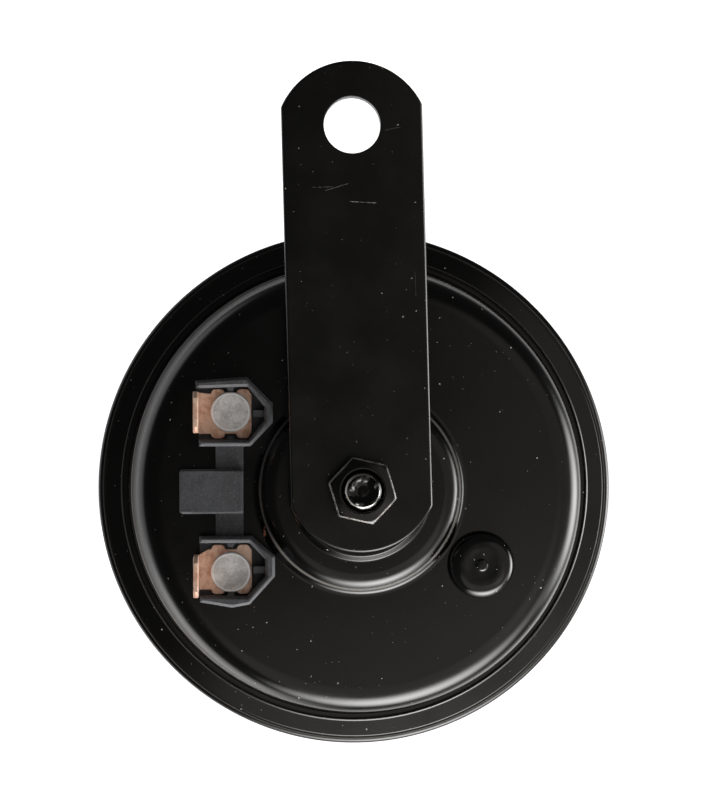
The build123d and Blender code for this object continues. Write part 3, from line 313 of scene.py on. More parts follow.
def sealing_compound(name, colour):
    """Poured black compound: very glossy, with a lazy ripple and a few grains on it."""
    roughness = 0.08
    material, tree, surface, place = new_finish(name, colour, roughness)
    dusty = grains(tree, place, 1.2 * MM, 0.13 * MM, 0.55)
    feed(tree, surface, {
        "Base Color": tint(tree, dusty, colour, (0.4, 0.4, 0.4)), "Roughness": larger(tree, dusty, roughness),
    })
    flow = emboss(tree, surface, noise(tree, place, 2.6 * MM, 1.0), 0.03 * MM)
    emboss(tree, surface, dusty, 0.03 * MM, flow)
    return material


def metal(name, colour, roughness, tarnish, patch, grain=(1.0, 1.0, 1.0), metallic=1.0):
    """Rolled metal: fine lines along a direction, patches of tarnish, and marked faces painted darker as
    painted shade.
    """
    material, tree, surface, place = new_finish(name, colour, roughness, metallic)
    lines = node(tree, "ShaderNodeMapping", {"Vector": place, "Scale": grain}).outputs["Vector"]
    fine = noise(tree, lines, 0.12 * MM, 3.0)
    patches = noise(tree, place, patch, 4.0, 0.65)
    clouded = tint(tree, remap(tree, patches, 0.42, 0.68), colour, tarnish)
    # The marked faces are painted darker: painted shade on the faces that slope down and to the rear.
    cut = node(tree, "ShaderNodeAttribute", attribute_name="cut").outputs["Fac"]
    worn = remap(tree, patches, 0.35, 0.7, roughness * 0.8, min(1.0, roughness * 1.5))
    feed(tree, surface, {
        "Base Color": tint(tree, cut, clouded, darker(tarnish, 0.4)),
        "Roughness": plus(tree, worn, remap(tree, fine, 0.3, 0.7, -0.06, 0.06)),
    })
    emboss(tree, surface, fine, 0.004 * MM)
    return material


def rivet_metal(name, colour, centres, radius):
    """Tinned rivet heads: a pitted, mottled face and a rolled edge that is smoother and painted brighter, a
    painted highlight.
    """
    material, tree, surface, place = new_finish(name, colour, 0.45, 0.5)
    broad, fine = noise(tree, place, 1.6 * MM, 3.0, 0.6), noise(tree, place, 0.35 * MM, 3.0, 0.7)
    mottle = plus(tree, times(tree, broad, 0.55), times(tree, fine, 0.45))
    edge = None
    for centre in centres:
        away = from_axis(tree, place, centre)
        near_edge = remap(tree, away, 0.82 * radius, 0.93 * radius)
        here = maths(tree, "LESS_THAN", away, 1.5 * radius)
        ring = times(tree, near_edge, here)
        edge = ring if edge is None else larger(tree, edge, ring)
    face = tint(tree, remap(tree, mottle, 0.38, 0.62), darker(colour, 0.62), colour)
    # The rolled edge is painted brighter, a painted highlight; it is also made smoother.
    bright = [min(1.0, 1.35 * part) for part in colour]
    rough = remap(tree, mottle, 0.3, 0.7, 0.5, 0.72)
    feed(tree, surface, {
        "Base Color": tint(tree, times(tree, edge, 0.7), face, bright),
        "Roughness": minus(tree, rough, times(tree, edge, 0.2)),
    })
    emboss(tree, surface, mottle, 0.05 * MM)
    return material


def enamelled_wire(name, colour):
    """Enamelled copper wire: metal under a clear amber coat."""
    material, tree, surface, place = new_finish(name, colour, 0.3, 0.9)
    surface.inputs["Coat Weight"].default_value = 0.6
    surface.inputs["Coat Roughness"].default_value = 0.1
    cloud = noise(tree, place, 3 * MM, 2.0)
    feed(tree, surface, {"Base Color": tint(tree, cloud, darker(colour, 0.7), colour)})
    emboss(tree, surface, noise(tree, place, 0.5 * MM), 0.004 * MM)
    return material


def pressed_board(name, colour, fibre):
    """Fibre board or gasket paper: short fibres and a matt, uneven face."""
    material, tree, surface, place = new_finish(name, colour, 0.85)
    stretched = node(tree, "ShaderNodeMapping", {"Vector": place, "Scale": (1.0, 1.0, 3.0)}).outputs["Vector"]
    fibres = noise(tree, stretched, fibre, 4.0, 0.7)
    shade = tint(tree, remap(tree, fibres, 0.35, 0.65), darker(colour, 0.6), colour)
    feed(tree, surface, {"Base Color": shade})
    emboss(tree, surface, fibres, 0.02 * MM)
    return material


def clouded_metal(tree, place, colour):
    """The colour of plain metal with a few duller clouds."""
    return tint(tree, remap(tree, noise(tree, place, 6 * MM, 3.0), 0.35, 0.65), darker(colour, 0.75), colour)


def turned_metal(name, colour, roughness, centre):
    """Metal turned in fine rings about an axis along Y."""
    material, tree, surface, place = new_finish(name, colour, roughness, 1.0)
    sockets = {"W": from_axis(tree, place, centre), "Scale": 1 / (0.25 * MM), "Detail": 3.0}
    rings = node(tree, "ShaderNodeTexNoise", sockets, noise_dimensions="1D").outputs["Fac"]
    feed(tree, surface, {
        "Base Color": clouded_metal(tree, place, colour),
        "Roughness": remap(tree, rings, 0.3, 0.7, roughness * 0.8, roughness * 1.3),
    })
    emboss(tree, surface, rings, 0.004 * MM)
    return material


def painted_core(name, metal_colour, paint_colour, painted, end):
    """Plated steel inside the horn; outside it, from a depth, thick black paint, crinkled on the end face."""
    bare_gloss, paint_gloss = 0.3, 0.12
    material, tree, surface, place = new_finish(name, metal_colour, bare_gloss, 1.0)
    depth = node(tree, "ShaderNodeSeparateXYZ", {"Vector": place}).outputs["Y"]
    on_end = remap(tree, depth, end + 0.15 * MM, end + 0.02 * MM)
    rubbed = times(tree, remap(tree, depth, end + 0.1 * MM, end + 0.16 * MM),
                   remap(tree, depth, end + 0.5 * MM, end + 0.4 * MM))
    outside = minus(tree, maths(tree, "LESS_THAN", depth, painted), rubbed)
    feed(tree, surface, {
        "Base Color": tint(tree, outside, clouded_metal(tree, place, metal_colour), paint_colour),
        "Metallic": minus(tree, 1.0, outside),
        "Roughness": remap(tree, outside, 0.0, 1.0, bare_gloss, paint_gloss),
    })
    inner = times(tree, on_end, remap(tree, from_axis(tree, place), 0.9 * MM, 2.3 * MM, 0.1, 1.0))
    crinkle = times(tree, noise(tree, place, 1.5 * MM, 1.0), inner)
    wrinkled = emboss(tree, surface, crinkle, 1.1 * MM)
    emboss(tree, surface, noise(tree, place, 0.25 * MM, 2.0), 0.006 * MM, wrinkled)
    return material


# ---- Shapes ------------------------------------------------------------------


def mark_painted_shade(mesh):
    """Marks the faces at a blade's tip that slope down and to the rear, to be painted darker: painted shade.
    """
    cut = mesh.attributes.new("cut", "FLOAT", "FACE")
    cut.data.foreach_set("value", [
        float(face.normal.y < -0.3 and face.normal.z < -0.3) for face in mesh.polygons
    ])


def placed(name, data):
    """A new object in the scene."""
    made = bpy.data.objects.new(name, data)
    bpy.context.scene.collection.objects.link(made)
    return made


def new_piece(name, mesh, material, body, slot, *nodes):
    """A finished piece from a mesh in place: it rides on a body and stands for CAD nodes."""
    piece = placed(name, mesh)
    mesh.materials.clear()
    mesh.materials.append(material)
    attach(piece, body)
    if nodes:
        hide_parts(*nodes)
    return piece


def finished(name, mesh, material, slot, body="housing"):
    """A finished piece that stands for the CAD node of its name."""
    return new_piece(name + "_finished", mesh, material, body, slot, name)


def dress(material, *nodes):
    """Gives CAD nodes a finish."""
    for name in nodes:
        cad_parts[name].material_slots[0].material = material


def merged_copy(name):
    """A copy of a CAD node's mesh with its loose triangles joined and its flat faces whole."""
    shape = bmesh.new()
    shape.from_mesh(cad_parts[name].data)
    bmesh.ops.remove_doubles(shape, verts=shape.verts, dist=0.5e-6)
    bmesh.ops.dissolve_limit(shape, angle_limit=math.radians(0.6), verts=shape.verts, edges=shape.edges)
    shape.verts.ensure_lookup_table()
    shape.verts.index_update()
    corners = [vertex.co.copy() for vertex in shape.verts]
    faces = [[vertex.index for vertex in face.verts] for face in shape.faces]
    shape.free()
    mesh = bpy.data.meshes.new(name)
    mesh.from_pydata(corners, [], faces)
    return mesh


def smooth(mesh, sharp=35.0):
    """Smooth shading, apart from edges sharper than an angle in degrees."""
    mesh.polygons.foreach_set("use_smooth", [True] * len(mesh.polygons))
    mesh.set_sharp_from_angle(angle=math.radians(sharp))


def settled(rough):
    """The mesh that an object's modifiers make of it. The object goes."""
    bpy.context.view_layer.update()
    mesh = bpy.data.meshes.new_from_object(rough.evaluated_get(bpy.context.evaluated_depsgraph_get()))
    bpy.data.objects.remove(rough)
    return mesh


def softened(name, edge, steps=2):
    """A CAD node's mesh with its sharp edges rounded off and its flat faces left flat."""
    mesh = merged_copy(name)
    rough = placed(name + "_rough", mesh)
    bevel = rough.modifiers.new("edges", "BEVEL")
    bevel.width = edge
    bevel.segments = steps
    bevel.limit_method = "ANGLE"
    bevel.angle_limit = math.radians(32)
    bevel.miter_outer = "MITER_ARC"
    smooth(mesh, 60)
    rough.modifiers.new("flat_faces", "WEIGHTED_NORMAL").keep_sharp = True
    soft = settled(rough)
    soft.name = name
    return soft


def rounded(points, bends, steps=10):
    """A profile through points of (radius, depth), each inner corner rounded by its bend radius."""
    profile = [points[0]]
    for before, corner, after, bend in zip(points, points[1:], points[2:], bends):
        corner, into, out = Vector(corner), Vector(before) - Vector(corner), Vector(after) - Vector(corner)
        half = into.angle(out) / 2
        reach = bend / math.tan(half)
        hub = corner + (into.normalized() + out.normalized()).normalized() * bend / math.sin(half)
        first = corner + into.normalized() * reach - hub
        last = corner + out.normalized() * reach - hub
        sweep = first.angle_signed(last)
        for step in range(steps + 1):
            profile.append(tuple(hub + Matrix.Rotation(-sweep * step / steps, 2) @ first))
    return profile + [points[-1]]


def skinned(shape, rings, name, sharp=35.0):
    """The mesh of a form whose skin runs from ring to ring of points. A ring of one point is a pole."""
    for inner, outer in zip(rings, rings[1:]):
        segments = max(len(inner), len(outer))
        for step in range(segments):
            after = (step + 1) % segments
            corners = [inner[step % len(inner)], inner[after % len(inner)]]
            corners += [outer[after % len(outer)], outer[step % len(outer)]]
            shape.faces.new(list(dict.fromkeys(corners)))
    bmesh.ops.recalc_face_normals(shape, faces=shape.faces)
    mesh = bpy.data.meshes.new(name)
    shape.to_mesh(mesh)
    shape.free()
    smooth(mesh, sharp)
    return mesh


def round_axis(centre, radius, depth, angle):
    """The point at a radius, a depth and an angle about an axis along Y."""
    return centre.x + radius * math.cos(angle), depth, centre.z + radius * math.sin(angle)


def turned(name, profile, centre, segments=96):
    """A form turned about an axis along Y, from a profile of (radius, depth).

    The profile starts and ends on the axis, or ends where it starts.
    """
    shape = bmesh.new()
    rings = []
    for radius, depth in profile:
        angles = [2 * math.pi * step / segments for step in range(segments if radius else 1)]
        rings.append([shape.verts.new(round_axis(centre, radius, depth, angle)) for angle in angles])
    return skinned(shape, rings, name)


def grow(tree, values, material, place):
    """The mesh that a Geometry Nodes tree makes from named inputs, moved to its place."""
    seed = placed(tree.name, bpy.data.meshes.new(tree.name))
    maker = seed.modifiers.new(tree.name, "NODES")
    maker.node_group = tree
    for item in tree.interface.items_tree:
        if item.in_out == "INPUT" and item.name in values:
            maker[item.identifier] = values[item.name]
        if item.in_out == "INPUT" and item.name == "Finish":
            maker[item.identifier] = material
    mesh = settled(seed)
    mesh.transform(place)
    smooth(mesh)
    return mesh


def new_tree(name, sizes, counts=()):
    """An empty Geometry Nodes tree with named inputs and the finish, its inputs and its output node."""
    tree = bpy.data.node_groups.new(name, "GeometryNodeTree")
    inputs = [(label, "Float") for label in sizes] + [(label, "Int") for label in counts]
    for label, kind in inputs + [("Finish", "Material")]:
        tree.interface.new_socket(name=label, in_out="INPUT", socket_type="NodeSocket" + kind)
    tree.interface.new_socket(name="Geometry", in_out="OUTPUT", socket_type="NodeSocketGeometry")
    given = tree.nodes.new("NodeGroupInput").outputs
    return tree, given, tree.nodes.new("NodeGroupOutput")


def close_tree(tree, given, output, geometry):
    """Ends a tree as real geometry with its finish."""
    real = node(tree, "GeometryNodeRealizeInstances", {0: geometry}).outputs[0]
    dressed = node(tree, "GeometryNodeSetMaterial", {"Geometry": real, "Material": given["Finish"]})
    tree.links.new(dressed.outputs[0], output.inputs[0])
    return tree


def thread_tree():
    """A threaded rod that stands along Z from its root, with a chamfered end.

    A grid is rolled up: across it runs the turn, along it the height. Its first and last rows close the ends.
    """
    sizes = ("Radius", "Depth", "Pitch", "Length", "Chamfer")
    tree, given, output = new_tree("cut_thread", sizes, ("Around", "Rows"))
    across, last_row = plus(tree, given["Around"], 1.0), minus(tree, given["Rows"], 1.0)
    sockets = {"Size X": 1.0, "Size Y": 1.0, "Vertices X": across, "Vertices Y": given["Rows"]}
    sheet = node(tree, "GeometryNodeMeshGrid", sockets).outputs["Mesh"]
    axes = node(tree, "ShaderNodeSeparateXYZ", {0: node(tree, "GeometryNodeInputPosition").outputs[0]})
    share = plus(tree, axes.outputs["X"], 0.5)
    row = times(tree, plus(tree, axes.outputs["Y"], 0.5), last_row)
    rise = remap(tree, minus(tree, row, 1.0), 0.0, minus(tree, given["Rows"], 3.0), smooth=False)
    height = times(tree, rise, given["Length"])
    phase = maths(tree, "FRACT", minus(tree, maths(tree, "DIVIDE", height, given["Pitch"]), share))
    slant = maths(tree, "ABSOLUTE", minus(tree, times(tree, phase, 2.0), 1.0))
    valley = minus(tree, 1.0, slant)
    cut = minus(tree, given["Radius"], times(tree, valley, given["Depth"]))
    left = minus(tree, given["Length"], height)
    cone = plus(tree, minus(tree, given["Radius"], given["Chamfer"]), left)
    from_middle = maths(tree, "ABSOLUTE", minus(tree, maths(tree, "DIVIDE", row, last_row), 0.5))
    on_wall = maths(tree, "LESS_THAN", from_middle, 0.4999)
    radius = times(tree, maths(tree, "MINIMUM", cut, cone), on_wall)
    turn = times(tree, share, 2 * math.pi)
    place = node(tree, "ShaderNodeCombineXYZ", {
        "X": times(tree, radius, maths(tree, "COSINE", turn)),
        "Y": times(tree, radius, maths(tree, "SINE", turn)),
        "Z": height,
    }).outputs[0]
    rolled = node(tree, "GeometryNodeSetPosition", {"Geometry": sheet, "Position": place}).outputs[0]
    closed = node(tree, "GeometryNodeMergeByDistance", {"Geometry": rolled, "Distance": 1e-6}).outputs[0]
    return close_tree(tree, given, output, closed)


def winding_tree():
    """One layer of round wire wound in a helix along Z."""
    tree, given, output = new_tree("wind_wire", ("Turns", "Radius", "Length", "Wire"))
    helix = node(tree, "GeometryNodeCurveSpiral", {
        "Resolution": 48,
        "Rotations": given["Turns"],
        "Start Radius": given["Radius"],
        "End Radius": given["Radius"],
        "Height": given["Length"],
    }).outputs[0]
    sockets = {"Resolution": 8, "Radius": given["Wire"]}
    section = node(tree, "GeometryNodeCurvePrimitiveCircle", sockets).outputs[0]
    sockets = {"Curve": helix, "Profile Curve": section, "Fill Caps": True}
    return close_tree(tree, given, output, node(tree, "GeometryNodeCurveToMesh", sockets).outputs[0])


def facing(centre, depth, outward):
    """The place of a piece made along Z, on an axis along Y from a depth outward (-1 rear, 1 front)."""
    lay = Matrix.Rotation(math.radians(90 if outward < 0 else -90), 4, "X")
    return Matrix.Translation((centre.x, depth, centre.z)) @ lay


def thread(name, radius, pitch, length, place, material):
    """A threaded rod in its place."""
    rows = max(24, round(length / pitch * 16))
    values = {
        "Radius": radius, "Depth": 0.55 * pitch, "Pitch": pitch, "Length": length,
        "Chamfer": 0.5 * pitch, "Around": 48, "Rows": rows,
    }
    mesh = grow(bpy.data.node_groups.get("cut_thread") or thread_tree(), values, material, place)
    mesh.name = name
    return mesh


def joined(name, *meshes):
    """Several meshes as one."""
    shape = bmesh.new()
    for mesh in meshes:
        shape.from_mesh(mesh)
    whole = bpy.data.meshes.new(name)
    shape.to_mesh(whole)
    shape.free()
    smooth(whole)
    return whole


# ---- What a user would change ------------------------------------------------


def colour_property(name, description, default):
    """A colour that a user can change."""
    return FloatVectorProperty(
        name=name, description=description, default=default, size=3, min=0.0, max=1.0, subtype="COLOR"
    )


def length_property(name, description, default):
    """A length that a user can change, in metres."""
    return FloatProperty(
        name=name, description=description, default=default, min=0.0, unit="LENGTH", precision=5
    )


def angle_property(name, description, degrees):
    """An angle that a user can change."""
    return FloatProperty(
        name=name, description=description, default=math.radians(degrees), subtype="ANGLE", unit="ROTATION"
    )


class HornColours(bpy.types.PropertyGroup):
    """The colours of the horn's finishes."""

    lacquer: colour_property("Lacquer", "Black lacquer on the pressed steel", (0.0013, 0.0011, 0.001))
    # Also the colour of the painted sheen on the cup's wall and of the painted highlight bands.
    dust_and_sheen: colour_property("Dust", "Grains of dust and bare scratches", (0.42, 0.4, 0.38))
    chip: colour_property("Chip", "Priming that shows where the lacquer is chipped", (0.3, 0.12, 0.07))
    plastic: colour_property("Carrier", "Dark grey moulding that holds the terminals", (0.066, 0.069, 0.078))
    compound: colour_property("Seal", "Black compound over the adjusting screw", (0.004, 0.004, 0.004))
    copper: colour_property("Copper", "Terminal strip", (0.9, 0.64, 0.5))
    tarnish: colour_property("Tarnish", "Darker patches on the terminals", (0.66, 0.38, 0.27))
    rivet: colour_property("Rivets", "Tinned terminal rivets", (0.7, 0.7, 0.71))
    zinc: colour_property("Zinc", "Plated steel of the inner pieces", (0.62, 0.61, 0.57))
    spring: colour_property("Spring steel", "Diaphragm", (0.34, 0.34, 0.35))
    bronze: colour_property("Bronze", "Contact arms", (0.66, 0.43, 0.2))
    enamel: colour_property("Wire", "Enamelled copper wire", (0.5, 0.16, 0.05))
    bobbin: colour_property("Bobbin", "Natural moulding of the coil's bobbin", (0.62, 0.58, 0.48))
    laminate: colour_property("Laminate", "Insulating washers and the breaker stack", (0.24, 0.12, 0.05))
    gasket: colour_property("Gaskets", "Gasket paper", (0.2, 0.19, 0.17))


class HornSizes(bpy.types.PropertyGroup):
    """The sizes of what the finishing adds to the horn."""

    strap_edge: length_property("Strap edge", "Rounding of the bracket's and the disc nut's edges", 0.12 * MM)
    moulded_edge: length_property("Moulded edge", "Rounding of the carrier's edges", 0.1 * MM)
    strip_edge: length_property("Strip edge", "Rounding of the terminals' edges", 0.12 * MM)
    stud_pitch: length_property("Stud pitch", "Pitch of the stud's thread", 1.0 * MM)
    bolt_pitch: length_property("Bolt pitch", "Pitch of the armature bolt's thread", 0.8 * MM)
    screw_pitch: length_property("Screw pitch", "Pitch of the adjusting screw's thread", 0.7 * MM)
    wire: length_property("Wire", "Thickness of the coil's wire", 0.55 * MM)


class HornStudio(bpy.types.PropertyGroup):
    """The camera, the floor and the light."""

    camera: FloatVectorProperty(
        name="Camera", description="Place of the camera from the stud's axis and the bracket's face",
        default=(-0.0180, -0.4131, 0.00904), size=3, subtype="TRANSLATION", unit="LENGTH",
    )
    turn: angle_property("Turn", "How far the camera looks to the right", 2.387)
    tilt: angle_property("Tilt", "How far the camera looks up", 0.815)
    roll: angle_property("Roll", "How far the camera leans", -0.171)
    lens: FloatProperty(name="Lens", description="Focal length", default=112.05, subtype="DISTANCE_CAMERA")
    floor_gap: length_property("Floor gap", "How far under the rim the floor lies", 12 * MM)
    floor_size: length_property("Floor size", "How far the floor runs out to its curved edge", 1.6)


# ---- Operators ---------------------------------------------------------------


# Bare scratches on the strap. In millimetres: across and up from its hole, the length and the width. Then the
# lean in degrees, and how strong each is.
SCRATCHES = (
    (-5.0, -10.3, 3.6, 0.14, 2, 0.2),
    (-2.6, -10.3, 4.3, 0.14, 17, 0.3),
    (1.8, -12.8, 4.6, 0.15, -3, 0.6),
    (6.7, -0.6, 2.8, 0.2, 12, 0.12),
    (10.4, -26.4, 4.5, 0.12, 92, 0.12),
)


def choices(context):
    """The colours and the sizes that a user can change."""
    return context.scene.horn_colours, context.scene.horn_sizes


def bevelled_nut(name, centre, face, foot, flat, bore, turn, segments=144):
    """A hexagon nut with its axis along Y, an outer face that falls away, and turned-off corners."""
    shape = bmesh.new()
    worn = shape.verts.layers.float.new("worn")
    rings = []
    angles = [2 * math.pi * step / segments for step in range(segments)]
    level, corners, edge = 3.9 * MM, 5.1 * MM, 0.15 * MM

    def ring(reach, drop, rubbed=0.0):
        """A ring round the nut, from its radius and depth under the outer face at each angle."""
        rings.append([
            shape.verts.new(round_axis(centre, reach(a), face + drop(reach(a)), a)) for a in angles
        ])
        for vertex in rings[-1]:
            vertex[worn] = rubbed

    def side(angle):
        """How far out the hexagon's side is at an angle."""
        return flat / math.cos((angle - turn) % math.radians(60) - math.radians(30))

    def slope(radius):
        """How deep the outer face lies at a radius."""
        return 0.2 * max(0.0, radius - level) + 0.5 * max(0.0, radius - corners)

    ring(lambda a: bore, lambda r: 0.5 * MM)
    ring(lambda a: bore + 0.45 * MM, lambda r: 0.03 * MM)
    ring(lambda a: 3.7 * MM, slope)
    ring(lambda a: level, slope)
    for share in (0.2, 0.4, 0.6, 0.8):
        ring(lambda a: level + share * (side(a) - 4.22 * MM), slope)
    for inset, extra in ((0.32, 0.0), (0.17, 0.04), (0.06, 0.12), (0.0, 0.28)):
        ring(lambda a: side(a) - inset * MM, lambda r: slope(r) + extra * MM, 1.0 if extra else 0.0)
    ring(side, lambda r: foot - face - edge)
    ring(lambda a: side(a) - edge, lambda r: foot - face)
    ring(lambda a: bore, lambda r: foot - face)
    return skinned(shape, rings + rings[:1], name, 50)


def housing_profile():
    """The housing's sheet from the stud's hole out over seat, dome and cup to the flange, and back inside."""
    clamped = RIM_HIGH.x - STUD.x - 1.35 * MM
    outside = mm((3.15, 0.0), (11.05, 0.0), (11.92, 1.2), (15.65, 1.2), (17.4, 4.2))
    outside += [(CUP_TOP, CUP_FACE), (CUP_BASE, FLANGE), (clamped, FLANGE)]
    inside = mm((3.15, 1.0), (10.45, 1.0), (11.5, 2.2), (15.08, 2.2), (16.83, 5.2), (36.4, 5.2))
    inside += [(38.4 * MM, FLANGE + SHEET), (clamped, FLANGE + SHEET)]
    over = rounded(outside, mm(0.35, 0.45, 3.0, 1.2, 4.5, 0.8), 16)
    under = rounded(inside, mm(0.2, 1.3, 2.0, 1.8, 3.5, 1.8), 12)
    return over + under[::-1] + [outside[0]]


def rim_profile():
    """The crimped rim's sheet: the rear lip with its fat edge and roller step, the outside, the front lip."""
    radius, rear, front = RIM_HIGH.x - STUD.x, RIM_LOW.y, RIM_HIGH.y
    edge, roller, lip, slope = radius - 4.4 * MM, radius - 1.4 * MM, radius - 6.4 * MM, 0.28
    fat, face, step = rear - 0.12 * MM, rear + 0.06 * MM, slope * (roller - edge)
    outside = [
        (edge, rear + SHEET), (edge, fat), (edge + 0.14 * MM, fat), (edge + 0.34 * MM, face),
        (roller, face + step), (roller + 0.09 * MM, rear + 0.13 * MM + step),
        (radius, rear + 0.14 * MM + slope * (radius - edge)), (radius, front), (lip, front),
        (lip, front - SHEET),
    ]
    bends = mm(0.1, 0.05, 0.1, 0.06, 0.06, 1.1, 1.3, 0.3)
    back = [(radius - SHEET, front - SHEET), (radius - SHEET, rear + SHEET), outside[0]]
    return rounded(outside, bends) + back


class HORN_OT_pressed_steel(bpy.types.Operator):
    """Lacquer the housing, the crimped rim, the strap bracket and its nut"""

    bl_idname = "horn.pressed_steel"
    bl_label = "Pressed steel"

    def execute(self, context):
        colours, sizes = choices(context)
        chips = [(STUD + Vector((-0.0160, 0, -0.0072)), 0.35 * MM, 1.6 * MM)]
        black = lacquer("black_lacquer", colours.lacquer, colours.dust_and_sheen, 0.19, chips=chips, bare=colours.chip,
                        walled=True)
        marks = [
            (HOLE + Vector((across * MM, 0, up * MM)), length * MM, width * MM, lean, strength)
            for across, up, length, width, lean, strength in SCRATCHES
        ]
        strap = lacquer("strap_lacquer", colours.lacquer, colours.dust_and_sheen, 0.26, marks)
        tube = mm((2.05, 4.2), (3.2, 4.2), (3.2, 8.0), (2.05, 8.0), (2.05, 4.2))
        neck = turned("neck", tube, SCREW, 48)
        cup = joined("housing", turned("cup", housing_profile(), STUD, 256), neck)
        finished("rear_housing", cup, black, "black_lacquer")
        finished("crimp_ring", turned("rim", rim_profile(), STUD, 256), black, "black_lacquer")
        plate = softened("mounting_bracket", sizes.strap_edge)
        finished("mounting_bracket", plate, strap, "black_lacquer")
        nut = bevelled_nut("nut", STUD, NUT_LOW.y, NUT_HIGH.y, 5.0 * MM, 3.05 * MM, math.radians(-13.1))
        finished("bracket_nut", nut, black, "black_lacquer")
        return {"FINISHED"}


class HORN_OT_stud(bpy.types.Operator):
    """Turn the pole core with its threaded stud"""

    bl_idname = "horn.stud"
    bl_label = "Core and stud"

    def execute(self, context):
        colours, sizes = choices(context)
        zinc = painted_core("plated_core", colours.zinc, colours.lacquer, 0.0, CORE_LOW.y)
        seat, pole, bevel, shoulder = mm(1.0, 9.0, 0.6, 3.6)
        radius = (CORE_HIGH.x - CORE_LOW.x) / 2
        core = turned("core", [
            (0, seat), (radius - bevel, seat), (radius, seat + bevel), (radius, seat + shoulder),
            (pole, seat + shoulder), (pole, CORE_HIGH.y - bevel), (pole - bevel, CORE_HIGH.y),
            (0, CORE_HIGH.y),
        ], STUD)
        rod = thread("stud", 3.0 * MM, sizes.stud_pitch, seat - CORE_LOW.y, facing(STUD, seat, -1), zinc)
        finished("pole_core", joined("core_and_stud", core, rod), zinc, "plated_steel")
        return {"FINISHED"}


class HORN_OT_carrier(bpy.types.Operator):
    """Finish the moulded terminal carrier"""

    bl_idname = "horn.carrier"
    bl_label = "Terminal carrier"

    def execute(self, context):
        colours, sizes = choices(context)
        grey = moulded_plastic("grey_moulding", colours.plastic)
        finished("terminal_carrier", softened("terminal_carrier", sizes.moulded_edge), grey, "grey_plastic")
        return {"FINISHED"}


class HORN_OT_terminals(bpy.types.Operator):
    """Finish the copper blade terminals and their rivets"""

    bl_idname = "horn.terminals"
    bl_label = "Terminals and rivets"

    def execute(self, context):
        colours, sizes = choices(context)
        copper = metal("copper_strip", colours.copper, 0.42, colours.tarnish, 1.6 * MM, (0.15, 1.0, 1.0), 0.5)
        places = [middle("upper_rivet"), middle("lower_rivet")]
        low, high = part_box("upper_rivet")
        tin = rivet_metal("tinned_rivets", colours.rivet, places, (high.x - low.x) / 2)
        for name in ("upper_terminal", "lower_terminal"):
            mesh = softened(name, sizes.strip_edge)
            # Painted shade: the faces that slope down and to the rear are marked to be painted darker.
            mark_painted_shade(mesh)
            finished(name, mesh, copper, "copper_strip")
        dress(tin, "upper_rivet", "lower_rivet")
        return {"FINISHED"}


class HORN_OT_seal(bpy.types.Operator):
    """Finish the seal and cut the thread of the adjusting screw under it"""

    bl_idname = "horn.seal"
    bl_label = "Adjusting screw and seal"

    def execute(self, context):
        colours, sizes = choices(context)
        low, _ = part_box("screw_seal")
        foot, nub = CUP_FACE + 0.05 * MM, low.y - 0.1 * MM
        bead = rounded([
            (0, nub), (0.75 * MM, nub), (1.05 * MM, low.y + 0.12 * MM), (2.4 * MM, low.y + 0.1 * MM),
            (5.55 * MM, low.y + 0.02 * MM), (5.65 * MM, foot), (0, foot),
        ], mm(0.3, 0.3, 1.0, 2.1, 0.01))
        compound = sealing_compound("poured_seal", colours.compound)
        finished("screw_seal", turned("seal", bead, SCREW, 96), compound, "seal_compound")
        zinc = turned_metal("plated_screw", colours.zinc, 0.3, SCREW)
        radius, length = (SCREW_HIGH.x - SCREW_LOW.x) / 2, SCREW_HIGH.y - SCREW_LOW.y
        rod = thread("screw", radius, sizes.screw_pitch, length, facing(SCREW, SCREW_LOW.y, 1), zinc)
        finished("adjusting_screw", rod, zinc, "plated_steel")
        return {"FINISHED"}


class HORN_OT_coil(bpy.types.Operator):
    """Wind the coil and finish its bobbin, retainer and leads"""

    bl_idname = "horn.coil"
    bl_label = "Coil"

    def execute(self, context):
        colours, sizes = choices(context)
        wire = enamelled_wire("enamelled_wire", colours.enamel)
        outside = (COIL_HIGH.x - COIL_LOW.x) / 2
        thickness = sizes.wire
        length = COIL_HIGH.y - COIL_LOW.y
        values = {
            "Turns": length / thickness - 1, "Radius": outside - thickness / 2, "Length": length - thickness,
            "Wire": 0.49 * thickness,
        }
        layer = grow(winding_tree(), values, wire, facing(STUD, COIL_LOW.y + thickness / 2, 1))
        inside = outside - thickness
        bore = 10.1 * MM
        drum = turned("under_layers", [
            (bore, COIL_LOW.y), (inside, COIL_LOW.y), (inside, COIL_HIGH.y), (bore, COIL_HIGH.y),
            (bore, COIL_LOW.y),
        ], STUD)
        coil = joined("coil_turns", layer, drum)
        new_piece("coil_turns", coil, wire, "housing", "enamelled_wire", "coil_winding")
        dress(wire, "coil_lead", "breaker_lead", "supply_lead")
        dress(moulded_plastic("bobbin_moulding", colours.bobbin, 0.45), "coil_bobbin")
        dress(turned_metal("plated_washer", colours.zinc, 0.35, STUD), "coil_retainer")
        return {"FINISHED"}


